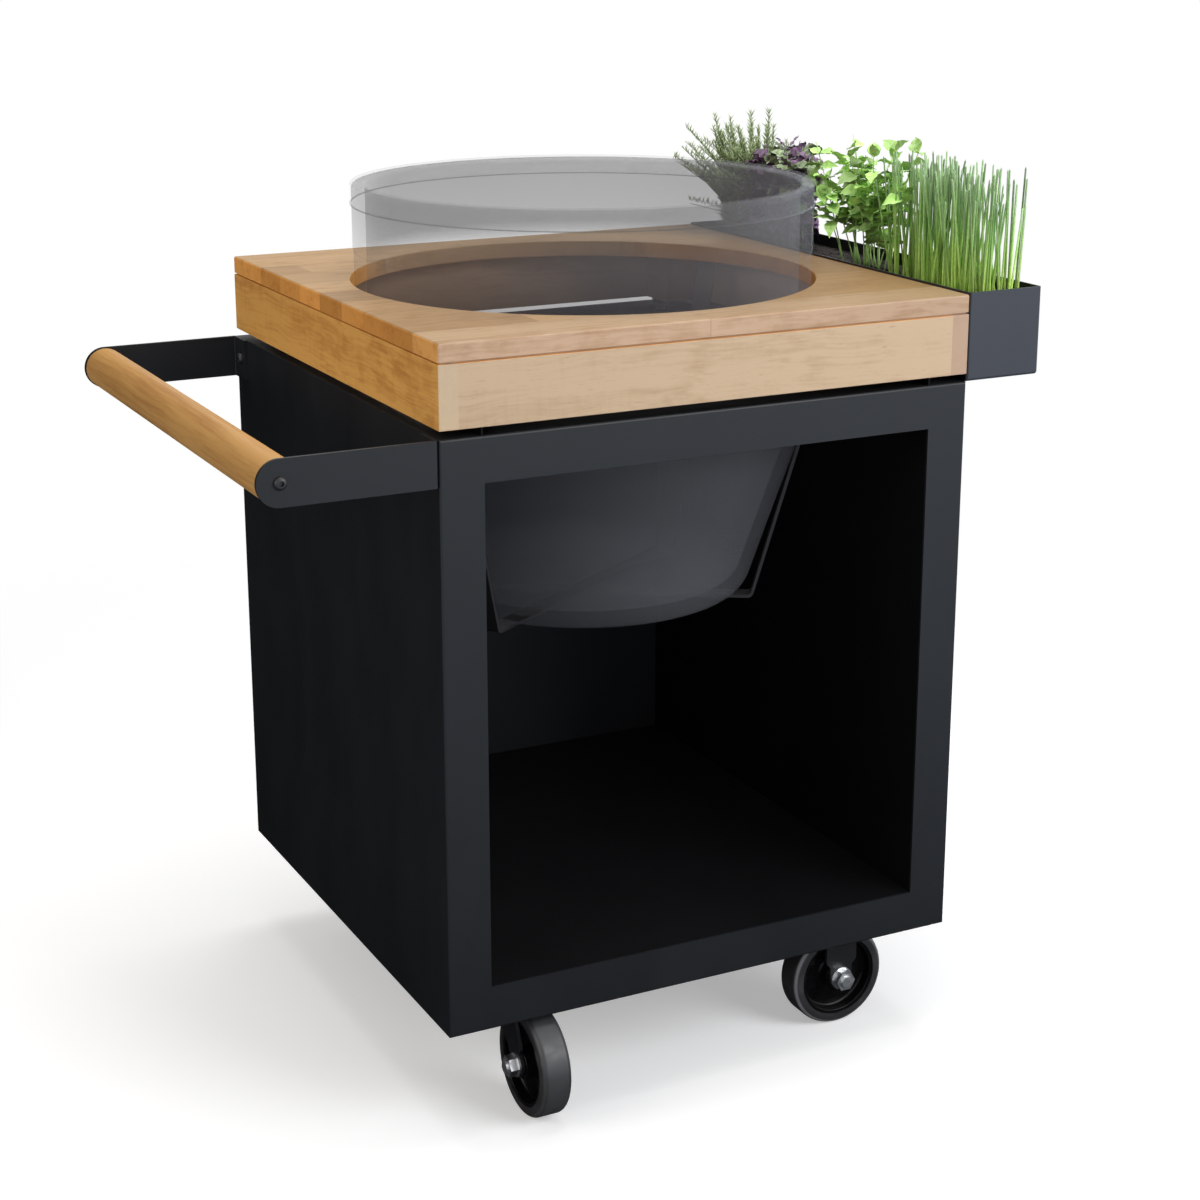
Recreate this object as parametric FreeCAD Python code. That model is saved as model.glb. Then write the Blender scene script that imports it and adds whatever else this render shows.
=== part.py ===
import FreeCAD, Part
import math
import os

# Grill table on four casters: a folded steel cabinet with an open front, a wooden worktop with a
# round hole, a push handle, a planter trough with herbs, and a grill bowl in a strap cradle.
# Millimetres, +Z up, front towards -Y, planter towards +X. Inside this file X = 0 and Y = 0 are
# the middle of the cabinet; each piece is moved as it is written, so that the origin is at floor
# level under the middle of the whole table's outline.

# Driving dimensions: cabinet
cabinet_height = 670.0
stile_width = 50.0
top_rail_height = 50.0
bottom_rail_height = 50.0
front_plate_thickness = 3.0
front_edge_radius = 2.5
sheet_thickness = 2.0
lower_flange_width = 20.0
back_edge_radius = 1.5
top_channel_depth = 45.0
base_channel_width = 112.0
base_channel_sheet = 3.0
fold_radius = 1.0

# Driving dimensions: worktop
shadow_gap = 9.0
liner_top_room = 1.0
apron_height = 69.0
apron_thickness = 22.0
groove_height = 2.0
groove_depth = 3.0
board_thickness = 20.0
board_edge_radius = 2.5
wood_edge_radius = 1.2
hole_clearance = 5.0
corner_block_size = 55.0
spacer_radius = 11.0
worktop_bolt_inset_x = 63.0
worktop_bolt_inset_y = 35.0
worktop_bolt_reach = 40.0

# Driving dimensions: handle
handle_reach = 195.0
handle_plate_height = 50.0
handle_plate_thickness = 4.0
handle_flange_length = 40.0
handle_flange_screw_inset = 25.0
handle_bar_radius = 24.0
handle_bar_end_radius = 1.5
handle_end_screw_reach = 40.0
handle_flange_screw_reach = 12.0

# Driving dimensions: planter and herbs
planter_width = 100.0
planter_height = 102.0
planter_wall = 2.0
planter_edge_radius = 3.5
planter_screw_drop = 45.0
planter_screw_reach = 16.0
planter_screw_spacing = 240.0
soil_drop = 12.0
soil_clearance = 0.3
herb_spacing = 2.0
chives_length = 215.0
chives_height = 160.0
basil_length = 165.0
basil_height = 160.0
purple_basil_length = 110.0
purple_basil_height = 125.0
rosemary_height = 176.0

# Driving dimensions: grill bowl and cradle
bowl_radius = 270.0
bowl_side_room = 5.0
bowl_channel_room = 7.0
bowl_wall = 15.0
bowl_floor = 20.0
bowl_foot_radius = 194.0
bowl_foot_round = 40.0
bowl_cone_angle = 18.5
bowl_shoulder_round = 280.0
bowl_lip_round = 4.0
seat_depth = 385.0
rim_above_worktop = 112.0
collar_height = 77.0
collar_step = 1.0
band_height = 24.0
band_thickness = 2.0
band_lip_width = 12.0
strap_width = 25.0
strap_thickness = 3.5
strap_bend_radius = 5.0
strap_angle = 32.0
strap_foot_clearance = 12.0
strap_bowl_clearance = 1.2
strap_tab_length = 30.0
strap_screw_reach = 14.0

# Driving dimensions: casters
caster_height = 155.0
caster_recess = 25.0
caster_inset_x = 115.0
caster_inset_y = 69.0
caster_plate_x = 105.0
caster_plate_y = 85.0
caster_plate_thickness = 4.0
caster_plate_corner = 6.0
caster_hole_spacing_x = 80.0
caster_hole_spacing_y = 60.0
wheel_radius = 62.5
tyre_thickness = 12.5
tyre_width = 36.0
tyre_shoulder_radius = 7.0
core_rim_thickness = 4.5
core_rim_width = 33.0
core_web_thickness = 7.0
core_fillet = 4.0
hub_radius = 18.0
hub_width = 37.0
sleeve_radius = 9.0
axle_radius = 7.0
fork_side_clearance = 0.7
fork_leg_thickness = 4.0
fork_leg_width = 42.0
fork_eye_radius = 15.0
swivel_trail = 40.0
race_radius = 28.0
race_bore = 12.0
race_height = 3.7
swivel_disc_radius = 32.0
swivel_pin_radius = 6.0
swivel_pin_head_radius = 10.0
swivel_pin_head_height = 4.0

# Driving dimensions: fasteners and fits
running_fit = 0.05
moving_gap = 0.3
bond_gap = 0.05
hole_slack = 0.4
cut_past = 1.0
fillet_margin = 0.2
screw_end_room = 2.0
head_room = 1.0
socket_room = 1.5
m8_radius = 4.0
m8_across_flats = 13.0
m8_head_height = 5.3
m8_nut_height = 6.5
axle_across_flats = 22.0
axle_head_height = 8.8
axle_nut_height = 12.0
axle_nut_flange_radius = 14.0
axle_nut_flange_height = 2.0
axle_end_beyond_nut = 3.0
bolt_end_beyond_nut = 2.0
wood_screw_radius = 2.5
button_head_ratio = 1.75
button_height_ratio = 1.1
socket_ratio = 1.25

# Levels and faces that follow from them: the cabinet is as wide and deep as the bowl needs
cabinet_width = 2 * (bowl_radius + bowl_side_room + stile_width)
cabinet_depth = 2 * (
    bowl_radius + bowl_channel_room + top_channel_depth + front_plate_thickness
)
cabinet_bottom = caster_height - caster_recess
cabinet_top = cabinet_bottom + cabinet_height
half_width = cabinet_width / 2
half_depth = cabinet_depth / 2
opening_half_width = half_width - stile_width
opening_bottom = cabinet_bottom + bottom_rail_height
opening_top = cabinet_top - top_rail_height
front_inner = -half_depth + front_plate_thickness
back_inner = half_depth - sheet_thickness
apron_bottom = cabinet_top + shadow_gap
groove_bottom = apron_bottom + apron_height
board_bottom = groove_bottom + groove_height
worktop_top = board_bottom + board_thickness
hole_radius = bowl_radius + hole_clearance
bowl_top = worktop_top + rim_above_worktop - band_thickness
handle_top = cabinet_top
handle_middle = handle_top - handle_plate_height / 2
handle_bar_x = -half_width - handle_reach + handle_plate_height / 2
planter_left = half_width
planter_right = planter_left + planter_width
planter_bottom = cabinet_top
planter_top = planter_bottom + planter_height
soil_top = planter_top - soil_drop
seat_level = worktop_top - seat_depth
caster_x = half_width - caster_inset_x
caster_y = half_depth - caster_inset_y
fork_half_gap = hub_width / 2 + fork_side_clearance
foremost = half_depth - caster_inset_y + swivel_trail + wheel_radius
rearmost = half_depth + m8_radius * button_height_ratio
table_middle = FreeCAD.Vector(
    (planter_right - half_width - handle_reach) / 2, (rearmost - foremost) / 2, 0
)

X_AXIS = FreeCAD.Vector(1, 0, 0)
Y_AXIS = FreeCAD.Vector(0, 1, 0)
Z_AXIS = FreeCAD.Vector(0, 0, 1)


def point(x, y, z):
    return FreeCAD.Vector(x, y, z)


def box(x1, x2, y1, y2, z1, z2):
    return Part.makeBox(x2 - x1, y2 - y1, z2 - z1, point(x1, y1, z1))


def rod(radius, start, axis, length):
    return Part.makeCylinder(radius, length, start, axis)


def tube(outer_radius, inner_radius, start, axis, length):
    return rod(outer_radius, start, axis, length).cut(rod(inner_radius, start, axis, length))


def joined(first, *others):
    """One solid from overlapping or touching ones."""
    return first.multiFuse(list(others)).removeSplitter()


def edges_where(shape, test):
    """The edges whose middle point passes the test."""
    return [edge for edge in shape.Edges if test(edge.CenterOfMass)]


def near(value, target):
    return abs(value - target) < 0.01


def placed(shape, seat, direction):
    """A copy of a shape made along +Z from the origin, turned to a direction and moved."""
    copy = shape.copy()
    copy.Placement = FreeCAD.Placement(seat, FreeCAD.Rotation(Z_AXIS, direction))
    return copy


def mirrored_x(shape):
    return shape.mirror(point(0, 0, 0), X_AXIS)


def mirrored_y(shape):
    return shape.mirror(point(0, 0, 0), Y_AXIS)


def rounded_outline(points, radii):
    """A closed wire through the points, with a tangent arc of its radius at each corner."""
    starts = []
    ends = []
    middles = []
    for index, corner in enumerate(points):
        to_last = (points[index - 1] - corner).normalize()
        to_next = (points[(index + 1) % len(points)] - corner).normalize()
        half_angle = to_last.getAngle(to_next) / 2
        radius = radii[index]
        reach = radius / math.tan(half_angle)
        starts.append(corner + to_last * reach)
        ends.append(corner + to_next * reach)
        if radius > 0:
            inward = (to_last + to_next).normalize()
            middles.append(corner + inward * (radius / math.sin(half_angle) - radius))
        else:
            middles.append(None)
    edges = []
    for index in range(len(points)):
        if middles[index] is not None:
            edges.append(Part.Arc(starts[index], middles[index], ends[index]).toShape())
        run_start = ends[index]
        run_end = starts[(index + 1) % len(points)]
        if run_start.distanceToPoint(run_end) > 1e-6:
            edges.append(Part.LineSegment(run_start, run_end).toShape())
    return Part.Wire(edges)


def extruded(wire, travel):
    return Part.Face(wire).extrude(travel)


def turned(points, radii, centre, axis):
    """A solid of revolution of a rounded outline."""
    return Part.Face(rounded_outline(points, radii)).revolve(centre, axis, 360)


def folded_sheet(points, thickness, inner_radius, normal, travel):
    """A sheet folded along its middle line, pushed out by a travel along the plane's normal."""
    runs = [(end - start).normalize() for start, end in zip(points, points[1:])]
    outline = []
    radii = []
    for side in (1, -1):
        side_points = []
        side_radii = []
        for index, corner in enumerate(points):
            before = runs[max(index - 1, 0)]
            after = runs[min(index, len(runs) - 1)]
            left_before = normal.cross(before)
            left_after = normal.cross(after)
            scale = side * thickness / 2 / (1 + left_before.dot(left_after))
            side_points.append(corner + (left_before + left_after) * scale)
            turn = side * before.cross(after).dot(normal)
            if abs(turn) < 1e-9:
                side_radii.append(0.0)
            elif turn > 0:
                side_radii.append(inner_radius)
            else:
                side_radii.append(inner_radius + thickness)
        if side < 0:
            side_points.reverse()
            side_radii.reverse()
        outline += side_points
        radii += side_radii
    return extruded(rounded_outline(outline, radii), normal * travel)


def hexagon_prism(across_flats, height):
    """A hexagon on the XY plane at the origin, pushed up to its height."""
    corner_radius = across_flats / math.sqrt(3)
    corners = []
    for step in range(7):
        angle = math.radians(60 * step)
        corners.append(point(corner_radius * math.cos(angle), corner_radius * math.sin(angle), 0))
    return extruded(Part.makePolygon(corners), Z_AXIS * height)


def hex_bolt(seat, direction, radius, length, across_flats, head_height):
    """A bolt whose head stands behind its seat and whose shank runs along the direction."""
    head = hexagon_prism(across_flats, head_height)
    head.translate(Z_AXIS * -head_height)
    shank = rod(radius, point(0, 0, 0), Z_AXIS, length)
    return placed(joined(head, shank), seat, direction)


def hex_nut(seat, direction, bore, across_flats, height, flange_radius=0.0, flange_height=0.0):
    """A nut on its seat, with a washer face where a flange radius is given."""
    nut = hexagon_prism(across_flats, height)
    if flange_radius > 0:
        nut = joined(nut, rod(flange_radius, point(0, 0, 0), Z_AXIS, flange_height))
    nut = nut.cut(rod(bore, point(0, 0, 0), Z_AXIS, height))
    return placed(nut, seat, direction)


def button_screw(seat, direction, radius, length):
    """A domed screw with a hexagon socket; the dome stands behind the seat."""
    head_radius = radius * button_head_ratio
    head_height = radius * button_height_ratio
    outline = [
        point(0, 0, 0),
        point(head_radius, 0, 0),
        point(head_radius, 0, -head_height),
        point(0, 0, -head_height),
    ]
    head = turned(outline, [0, 0, head_height * 0.8, 0], point(0, 0, 0), Z_AXIS)
    socket = hexagon_prism(radius * socket_ratio, head_height * 0.6)
    socket.translate(Z_AXIS * -head_height)
    shank = rod(radius, point(0, 0, 0), Z_AXIS, length)
    return placed(joined(head.cut(socket), shank), seat, direction)


def write(name, *solids):
    """Write one node, moved so that the origin is under the middle of the whole table."""
    moved = []
    for solid in solids:
        copy = solid.copy()
        copy.translate(table_middle * -1)
        moved.append(copy)
    shape = moved[0] if len(moved) == 1 else Part.makeCompound(moved)
    shape.exportStep("parts/" + name + ".step")
    box_size = shape.BoundBox
    flaw = "" if shape.isValid() and len(shape.Solids) == len(solids) else "  NOT SOUND"
    print(
        f"{name}: {len(shape.Solids)} solid(s), {box_size.XLength:.1f} x {box_size.YLength:.1f} x"
        f" {box_size.ZLength:.1f} mm{flaw}"
    )


os.makedirs("parts", exist_ok=True)

# Cabinet: the face ring with rounded outer edges
front_radius = min(front_edge_radius, front_plate_thickness - fillet_margin)
front_frame = box(
    -half_width, half_width, -half_depth, front_inner, cabinet_bottom, cabinet_top
)
front_frame = front_frame.makeFillet(
    front_radius,
    edges_where(front_frame, lambda middle: near(middle.y, -half_depth)),
)
front_frame = front_frame.cut(
    box(
        -opening_half_width,
        opening_half_width,
        -half_depth - cut_past,
        front_inner + cut_past,
        opening_bottom,
        opening_top,
    )
)
write("front_frame", front_frame)

# Cabinet: outer side sheets, folded in at the front, back, top and bottom
skin_inner = half_width - sheet_thickness
liner_outer = opening_half_width + sheet_thickness
handle_screw_y = half_depth - handle_flange_screw_inset
skin_parts = [
    box(skin_inner, half_width, front_inner, back_inner, cabinet_bottom, cabinet_top),
    box(
        liner_outer, skin_inner, front_inner, front_inner + sheet_thickness,
        cabinet_bottom, cabinet_top,
    ),
    box(
        liner_outer, skin_inner, back_inner - sheet_thickness, back_inner,
        cabinet_bottom, cabinet_top,
    ),
    box(
        liner_outer, skin_inner, front_inner, back_inner,
        cabinet_top - sheet_thickness, cabinet_top,
    ),
    box(
        skin_inner - lower_flange_width, skin_inner, front_inner, back_inner,
        cabinet_bottom, cabinet_bottom + sheet_thickness,
    ),
]
side_skin_right = joined(*skin_parts)
side_skin_left = mirrored_x(side_skin_right)
for y in (-handle_screw_y, handle_screw_y):
    start = point(-half_width - cut_past, y, handle_middle)
    side_skin_left = side_skin_left.cut(
        rod(m8_radius + hole_slack, start, X_AXIS, sheet_thickness + 2 * cut_past)
    )
write("side_skin_left", side_skin_left)
write("side_skin_right", side_skin_right)

# Cabinet: inner side sheets, flush with the opening; they rise into the gap under the worktop,
# so that no light comes through it
liner_top = apron_bottom - liner_top_room
side_liner_right = box(
    opening_half_width, liner_outer, front_inner, back_inner, caster_height, liner_top
)
write("side_liner_left", mirrored_x(side_liner_right))
write("side_liner_right", side_liner_right)

# Cabinet: floor and back
floor_bottom = opening_bottom - sheet_thickness
floor_panel = box(
    -opening_half_width, opening_half_width, front_inner, back_inner, floor_bottom, opening_bottom
)
write("floor_panel", floor_panel)
back_radius = min(back_edge_radius, sheet_thickness - fillet_margin)
back_panel = box(-half_width, half_width, back_inner, half_depth, cabinet_bottom, cabinet_top)
back_panel = back_panel.makeFillet(
    back_radius, edges_where(back_panel, lambda middle: near(middle.y, half_depth))
)
write("back_panel", back_panel)

# Cabinet: U-channels under the floor, with their webs on the caster plates
web_level = caster_height + base_channel_sheet / 2
channel_half = base_channel_width / 2 - base_channel_sheet / 2
channel_line = [
    point(caster_x + channel_half, front_inner, floor_bottom),
    point(caster_x + channel_half, front_inner, web_level),
    point(caster_x - channel_half, front_inner, web_level),
    point(caster_x - channel_half, front_inner, floor_bottom),
]
base_channel = folded_sheet(
    channel_line, base_channel_sheet, fold_radius, Y_AXIS, back_inner - front_inner
)
plate_hole_centres = []
for caster_sign_y in (-1, 1):
    for hole_x in (-caster_hole_spacing_x / 2, caster_hole_spacing_x / 2):
        for hole_y in (-caster_hole_spacing_y / 2, caster_hole_spacing_y / 2):
            plate_hole_centres.append((caster_x + hole_x, caster_sign_y * caster_y + hole_y))
for hole_x, hole_y in plate_hole_centres:
    base_channel = base_channel.cut(
        rod(
            m8_radius + hole_slack, point(hole_x, hole_y, caster_height - cut_past), Z_AXIS,
            base_channel_sheet + 2 * cut_past,
        )
    )
write("base_channel_left", mirrored_x(base_channel))
write("base_channel_right", base_channel)

# Cabinet: C-channels across the top, open towards the middle
top_half_sheet = sheet_thickness / 2
top_channel_line = [
    point(-opening_half_width, front_inner + top_channel_depth, opening_top + top_half_sheet),
    point(-opening_half_width, front_inner + top_half_sheet, opening_top + top_half_sheet),
    point(-opening_half_width, front_inner + top_half_sheet, cabinet_top - top_half_sheet),
    point(-opening_half_width, front_inner + top_channel_depth, cabinet_top - top_half_sheet),
]
top_channel_front = folded_sheet(
    top_channel_line, sheet_thickness, fold_radius, X_AXIS, 2 * opening_half_width
)
worktop_bolt_x = half_width - worktop_bolt_inset_x
worktop_bolt_y = half_depth - worktop_bolt_inset_y
access_hole_radius = m8_across_flats / math.sqrt(3) + socket_room
for x in (-worktop_bolt_x, worktop_bolt_x):
    top_channel_front = top_channel_front.cut(
        rod(
            m8_radius + hole_slack,
            point(x, -worktop_bolt_y, cabinet_top - sheet_thickness - cut_past),
            Z_AXIS, sheet_thickness + 2 * cut_past,
        )
    )
    top_channel_front = top_channel_front.cut(
        rod(
            access_hole_radius, point(x, -worktop_bolt_y, opening_top - cut_past),
            Z_AXIS, sheet_thickness + 2 * cut_past,
        )
    )
top_channel_rear = mirrored_y(top_channel_front).translated(
    point(0, back_inner + front_inner, 0)
)
write("top_channel_front", top_channel_front)
write("top_channel_rear", top_channel_rear)

# Worktop: spacers, bolts and glue blocks at the four corners
worktop_spacers = []
worktop_bolts = []
corner_blocks = []
block_outer = half_width - apron_thickness
block_outer_y = half_depth - apron_thickness
rear_bolt_y = worktop_bolt_y + back_inner + front_inner
for sign_x in (-1, 1):
    for bolt_y in (-worktop_bolt_y, rear_bolt_y):
        sign_y = math.copysign(1, bolt_y)
        bolt_x = sign_x * worktop_bolt_x
        spacer_foot = point(bolt_x, bolt_y, cabinet_top)
        worktop_spacers.append(
            tube(spacer_radius, m8_radius + hole_slack, spacer_foot, Z_AXIS, shadow_gap)
        )
        seat = point(bolt_x, bolt_y, cabinet_top - sheet_thickness)
        grip = sheet_thickness + shadow_gap + worktop_bolt_reach
        worktop_bolts.append(
            hex_bolt(seat, Z_AXIS, m8_radius, grip, m8_across_flats, m8_head_height)
        )
        x_faces = sorted((sign_x * block_outer, sign_x * (block_outer - corner_block_size)))
        y_faces = sorted((sign_y * block_outer_y, sign_y * (block_outer_y - corner_block_size)))
        block = box(*x_faces, *y_faces, apron_bottom, board_bottom)
        bore = rod(
            m8_radius + bond_gap, point(bolt_x, bolt_y, apron_bottom), Z_AXIS,
            worktop_bolt_reach + cut_past,
        )
        corner_blocks.append(block.cut(bore))
write("worktop_spacers", *worktop_spacers)
write("worktop_bolts", *worktop_bolts)
write("corner_blocks", *corner_blocks)

# Worktop: boards on edge with a groove under the top board; the side boards run the full depth
# and show their ends at the front and the back, and the other two stand between them
apron_outer = box(
    -half_width, half_width, -half_depth, half_depth, apron_bottom, groove_bottom
)
apron_outer = apron_outer.makeFillet(wood_edge_radius, apron_outer.Edges)
groove_neck = box(
    -half_width + groove_depth, half_width - groove_depth,
    -half_depth + groove_depth, half_depth - groove_depth,
    groove_bottom - cut_past, board_bottom,
)
apron_room = box(
    -half_width + apron_thickness, half_width - apron_thickness,
    -half_depth + apron_thickness, half_depth - apron_thickness,
    apron_bottom - cut_past, board_bottom + cut_past,
)
apron_ring = joined(apron_outer, groove_neck).cut(apron_room)
side_board_inner = half_width - apron_thickness
front_board_inner = -half_depth + apron_thickness
board_levels = (apron_bottom - cut_past, board_bottom + cut_past)
apron_front = apron_ring.common(
    box(
        -side_board_inner, side_board_inner,
        -half_depth - cut_past, front_board_inner + cut_past, *board_levels,
    )
)
apron_right = apron_ring.common(
    box(
        side_board_inner, half_width + cut_past,
        -half_depth - cut_past, half_depth + cut_past, *board_levels,
    )
)
apron_left = mirrored_x(apron_right)
planter_screw_z = planter_top - planter_screw_drop
planter_screw_ys = [-planter_screw_spacing, 0.0, planter_screw_spacing]
for y in planter_screw_ys:
    apron_right = apron_right.cut(
        rod(
            wood_screw_radius + bond_gap, point(half_width + cut_past, y, planter_screw_z),
            X_AXIS * -1, planter_screw_reach + cut_past,
        )
    )
write("apron_front", apron_front)
write("apron_back", mirrored_y(apron_front))
write("apron_left", apron_left)
write("apron_right", apron_right)

# Cradle line: the legs lean out and pass close by the bowl's shoulder
cone_angle = math.radians(bowl_cone_angle)
shoulder_corner_z = seat_level + (bowl_radius - bowl_foot_radius) / math.tan(cone_angle)
shoulder_reach = bowl_shoulder_round * math.tan(cone_angle / 2)
shoulder_centre_r = bowl_radius - bowl_shoulder_round
shoulder_centre_z = shoulder_corner_z + shoulder_reach
tab_level = board_bottom - strap_thickness / 2


def strap_line(foot_radius, foot_level):
    """Radius and height along a strap's middle line, from one tab's end to the other's."""
    to_centre_r = shoulder_centre_r - foot_radius
    to_centre_z = shoulder_centre_z - foot_level
    stand_off = bowl_shoulder_round + strap_bowl_clearance + strap_thickness / 2
    lean = math.atan2(to_centre_z, to_centre_r)
    lean -= math.asin(stand_off / math.hypot(to_centre_r, to_centre_z))
    top_radius = foot_radius + (tab_level - foot_level) / math.tan(lean)
    tab_end = top_radius + strap_tab_length
    half_line = [(foot_radius, foot_level), (top_radius, tab_level), (tab_end, tab_level)]
    return [(-r, z) for r, z in reversed(half_line)] + half_line


foot_radius_upper = bowl_foot_radius + strap_foot_clearance
foot_level_upper = seat_level - strap_thickness / 2
line_upper = strap_line(foot_radius_upper, foot_level_upper)
line_lower = strap_line(foot_radius_upper, foot_level_upper - strap_thickness)
tab_top_radius = line_upper[-2][0]
tab_screw_radii = [
    tab_top_radius + strap_tab_length * 0.4,
    tab_top_radius + strap_tab_length * 0.8,
]


def strap_direction(angle):
    radians = math.radians(angle)
    return point(math.cos(radians), math.sin(radians), 0)


def tab_screw_places():
    """Where the eight screws pass through the straps' tabs, at the board's underside."""
    places = []
    for angle in (strap_angle, -strap_angle, 180 + strap_angle, 180 - strap_angle):
        for radius in tab_screw_radii:
            places.append(strap_direction(angle) * radius + Z_AXIS * board_bottom)
    return places


def cradle_strap(line, angle):
    """One U-shaped flat strap with its screw holes and its rivet hole."""
    outward = strap_direction(angle)
    normal = Z_AXIS.cross(outward)
    middle_line = [outward * r + Z_AXIS * z - normal * (strap_width / 2) for r, z in line]
    strap = folded_sheet(middle_line, strap_thickness, strap_bend_radius, normal, strap_width)
    for place in tab_screw_places():
        start = place - Z_AXIS * (strap_thickness + cut_past)
        bore_length = strap_thickness + 2 * cut_past
        strap = strap.cut(rod(wood_screw_radius + bond_gap, start, Z_AXIS, bore_length))
    rivet_start = Z_AXIS * (seat_level - 3 * strap_thickness)
    return strap.cut(rod(m8_radius, rivet_start, Z_AXIS, 4 * strap_thickness))


write("cradle_strap_upper", cradle_strap(line_upper, strap_angle))
write("cradle_strap_lower", cradle_strap(line_lower, -strap_angle))
rivet_foot = seat_level - 2 * strap_thickness
rivet = button_screw(Z_AXIS * rivet_foot, Z_AXIS, m8_radius, 2 * strap_thickness)
write("cradle_rivet", rivet)
cradle_screws = []
for place in tab_screw_places():
    seat = place - Z_AXIS * strap_thickness
    cradle_screws.append(
        button_screw(seat, Z_AXIS, wood_screw_radius, strap_thickness + strap_screw_reach)
    )
write("cradle_screws", *cradle_screws)

# Worktop: the board with its hole and the screws' pilot holes
worktop_board = box(
    -half_width, half_width, -half_depth, half_depth, board_bottom, worktop_top
)
worktop_board = worktop_board.makeFillet(
    board_edge_radius,
    edges_where(worktop_board, lambda middle: middle.z > board_bottom + 0.01),
)
worktop_board = worktop_board.cut(
    rod(
        hole_radius, point(0, 0, board_bottom - cut_past), Z_AXIS,
        board_thickness + 2 * cut_past,
    )
)
worktop_board = worktop_board.makeFillet(
    wood_edge_radius,
    [
        edge
        for edge in worktop_board.Edges
        if near(edge.BoundBox.XLength, 2 * hole_radius)
    ],
)
for place in tab_screw_places():
    start = place - Z_AXIS * cut_past
    worktop_board = worktop_board.cut(
        rod(wood_screw_radius + bond_gap, start, Z_AXIS, strap_screw_reach + 2 * cut_past)
    )
write("worktop_board", worktop_board)

# Handle: two folded plates with round ends
plate_line = [
    point(
        -half_width - handle_plate_thickness / 2,
        -half_depth + handle_flange_length,
        handle_middle - handle_plate_height / 2,
    ),
    point(
        -half_width - handle_plate_thickness / 2,
        -half_depth + handle_plate_thickness / 2,
        handle_middle - handle_plate_height / 2,
    ),
    point(
        -half_width - handle_reach,
        -half_depth + handle_plate_thickness / 2,
        handle_middle - handle_plate_height / 2,
    ),
]
handle_plate_front = folded_sheet(
    plate_line, handle_plate_thickness, fold_radius, Z_AXIS, handle_plate_height
)
end_radius = handle_plate_height / 2
plate_outline = joined(
    box(
        handle_bar_x, -half_width,
        -half_depth - cut_past, -half_depth + handle_flange_length + cut_past,
        handle_middle - end_radius, handle_middle + end_radius,
    ),
    rod(
        end_radius, point(handle_bar_x, -half_depth - cut_past, handle_middle), Y_AXIS,
        handle_flange_length + 2 * cut_past,
    ),
)
handle_plate_front = handle_plate_front.common(plate_outline)
handle_plate_front = handle_plate_front.cut(
    rod(
        m8_radius + hole_slack, point(handle_bar_x, -half_depth - cut_past, handle_middle),
        Y_AXIS, handle_plate_thickness + 2 * cut_past,
    )
)
handle_plate_front = handle_plate_front.cut(
    rod(
        m8_radius + hole_slack,
        point(-half_width - handle_plate_thickness - cut_past, -handle_screw_y, handle_middle),
        X_AXIS, handle_plate_thickness + 2 * cut_past,
    )
)
write("handle_plate_front", handle_plate_front)
write("handle_plate_rear", mirrored_y(handle_plate_front))

# Handle: the wooden bar between the plates
bar_half_length = half_depth - handle_plate_thickness
handle_bar = rod(
    handle_bar_radius, point(handle_bar_x, -bar_half_length, handle_middle), Y_AXIS,
    2 * bar_half_length,
)
handle_bar = handle_bar.makeFillet(
    handle_bar_end_radius,
    [
        edge
        for edge in handle_bar.Edges
        if near(edge.BoundBox.XLength, 2 * handle_bar_radius) and edge.BoundBox.YLength < 1
    ],
)
for y, direction in ((-bar_half_length, Y_AXIS), (bar_half_length, Y_AXIS * -1)):
    start = point(handle_bar_x, y, handle_middle)
    handle_bar = handle_bar.cut(
        rod(m8_radius + bond_gap, start, direction, handle_end_screw_reach)
    )
write("handle_bar", handle_bar)
end_grip = handle_plate_thickness + handle_end_screw_reach - screw_end_room
flange_grip = handle_plate_thickness + handle_flange_screw_reach
flange_face = -half_width - handle_plate_thickness
write(
    "handle_screws",
    button_screw(point(handle_bar_x, -half_depth, handle_middle), Y_AXIS, m8_radius, end_grip),
    button_screw(point(handle_bar_x, half_depth, handle_middle), Y_AXIS * -1, m8_radius, end_grip),
    button_screw(
        point(flange_face, -handle_screw_y, handle_middle), X_AXIS, m8_radius, flange_grip
    ),
    button_screw(
        point(flange_face, handle_screw_y, handle_middle), X_AXIS, m8_radius, flange_grip
    ),
)

# Planter: an open trough against the right apron. All its edges are rounded apart from the lower
# one along the cabinet, which is crisp and closes the gap under the worktop at that side
trough_radius = min(planter_edge_radius, planter_width / 4)
trough_outer = box(
    planter_left, planter_right, -half_depth, half_depth, planter_bottom, planter_top
)
crisp_edge = point(planter_left, 0, planter_bottom)
trough_outer = trough_outer.makeFillet(
    trough_radius,
    edges_where(
        trough_outer,
        lambda middle: middle.z < planter_top - 0.01 and (middle - crisp_edge).Length > 0.01,
    ),
)
trough_inner = box(
    planter_left + planter_wall, planter_right - planter_wall,
    -half_depth + planter_wall, half_depth - planter_wall,
    planter_bottom + planter_wall, planter_top + cut_past,
)
inner_trough_radius = max(trough_radius - planter_wall, 0.5)
trough_inner = trough_inner.makeFillet(
    inner_trough_radius,
    edges_where(trough_inner, lambda middle: middle.z < planter_top),
)
planter_trough = trough_outer.cut(trough_inner)
for y in planter_screw_ys:
    start = point(planter_left - cut_past, y, planter_screw_z)
    planter_trough = planter_trough.cut(
        rod(wood_screw_radius + bond_gap, start, X_AXIS, planter_wall + 2 * cut_past)
    )
write("planter_trough", planter_trough)
planter_screws = []
for y in planter_screw_ys:
    seat = point(planter_left + planter_wall, y, planter_screw_z)
    planter_screws.append(
        button_screw(seat, X_AXIS * -1, wood_screw_radius, planter_wall + planter_screw_reach)
    )
write("planter_screws", *planter_screws)

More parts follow.
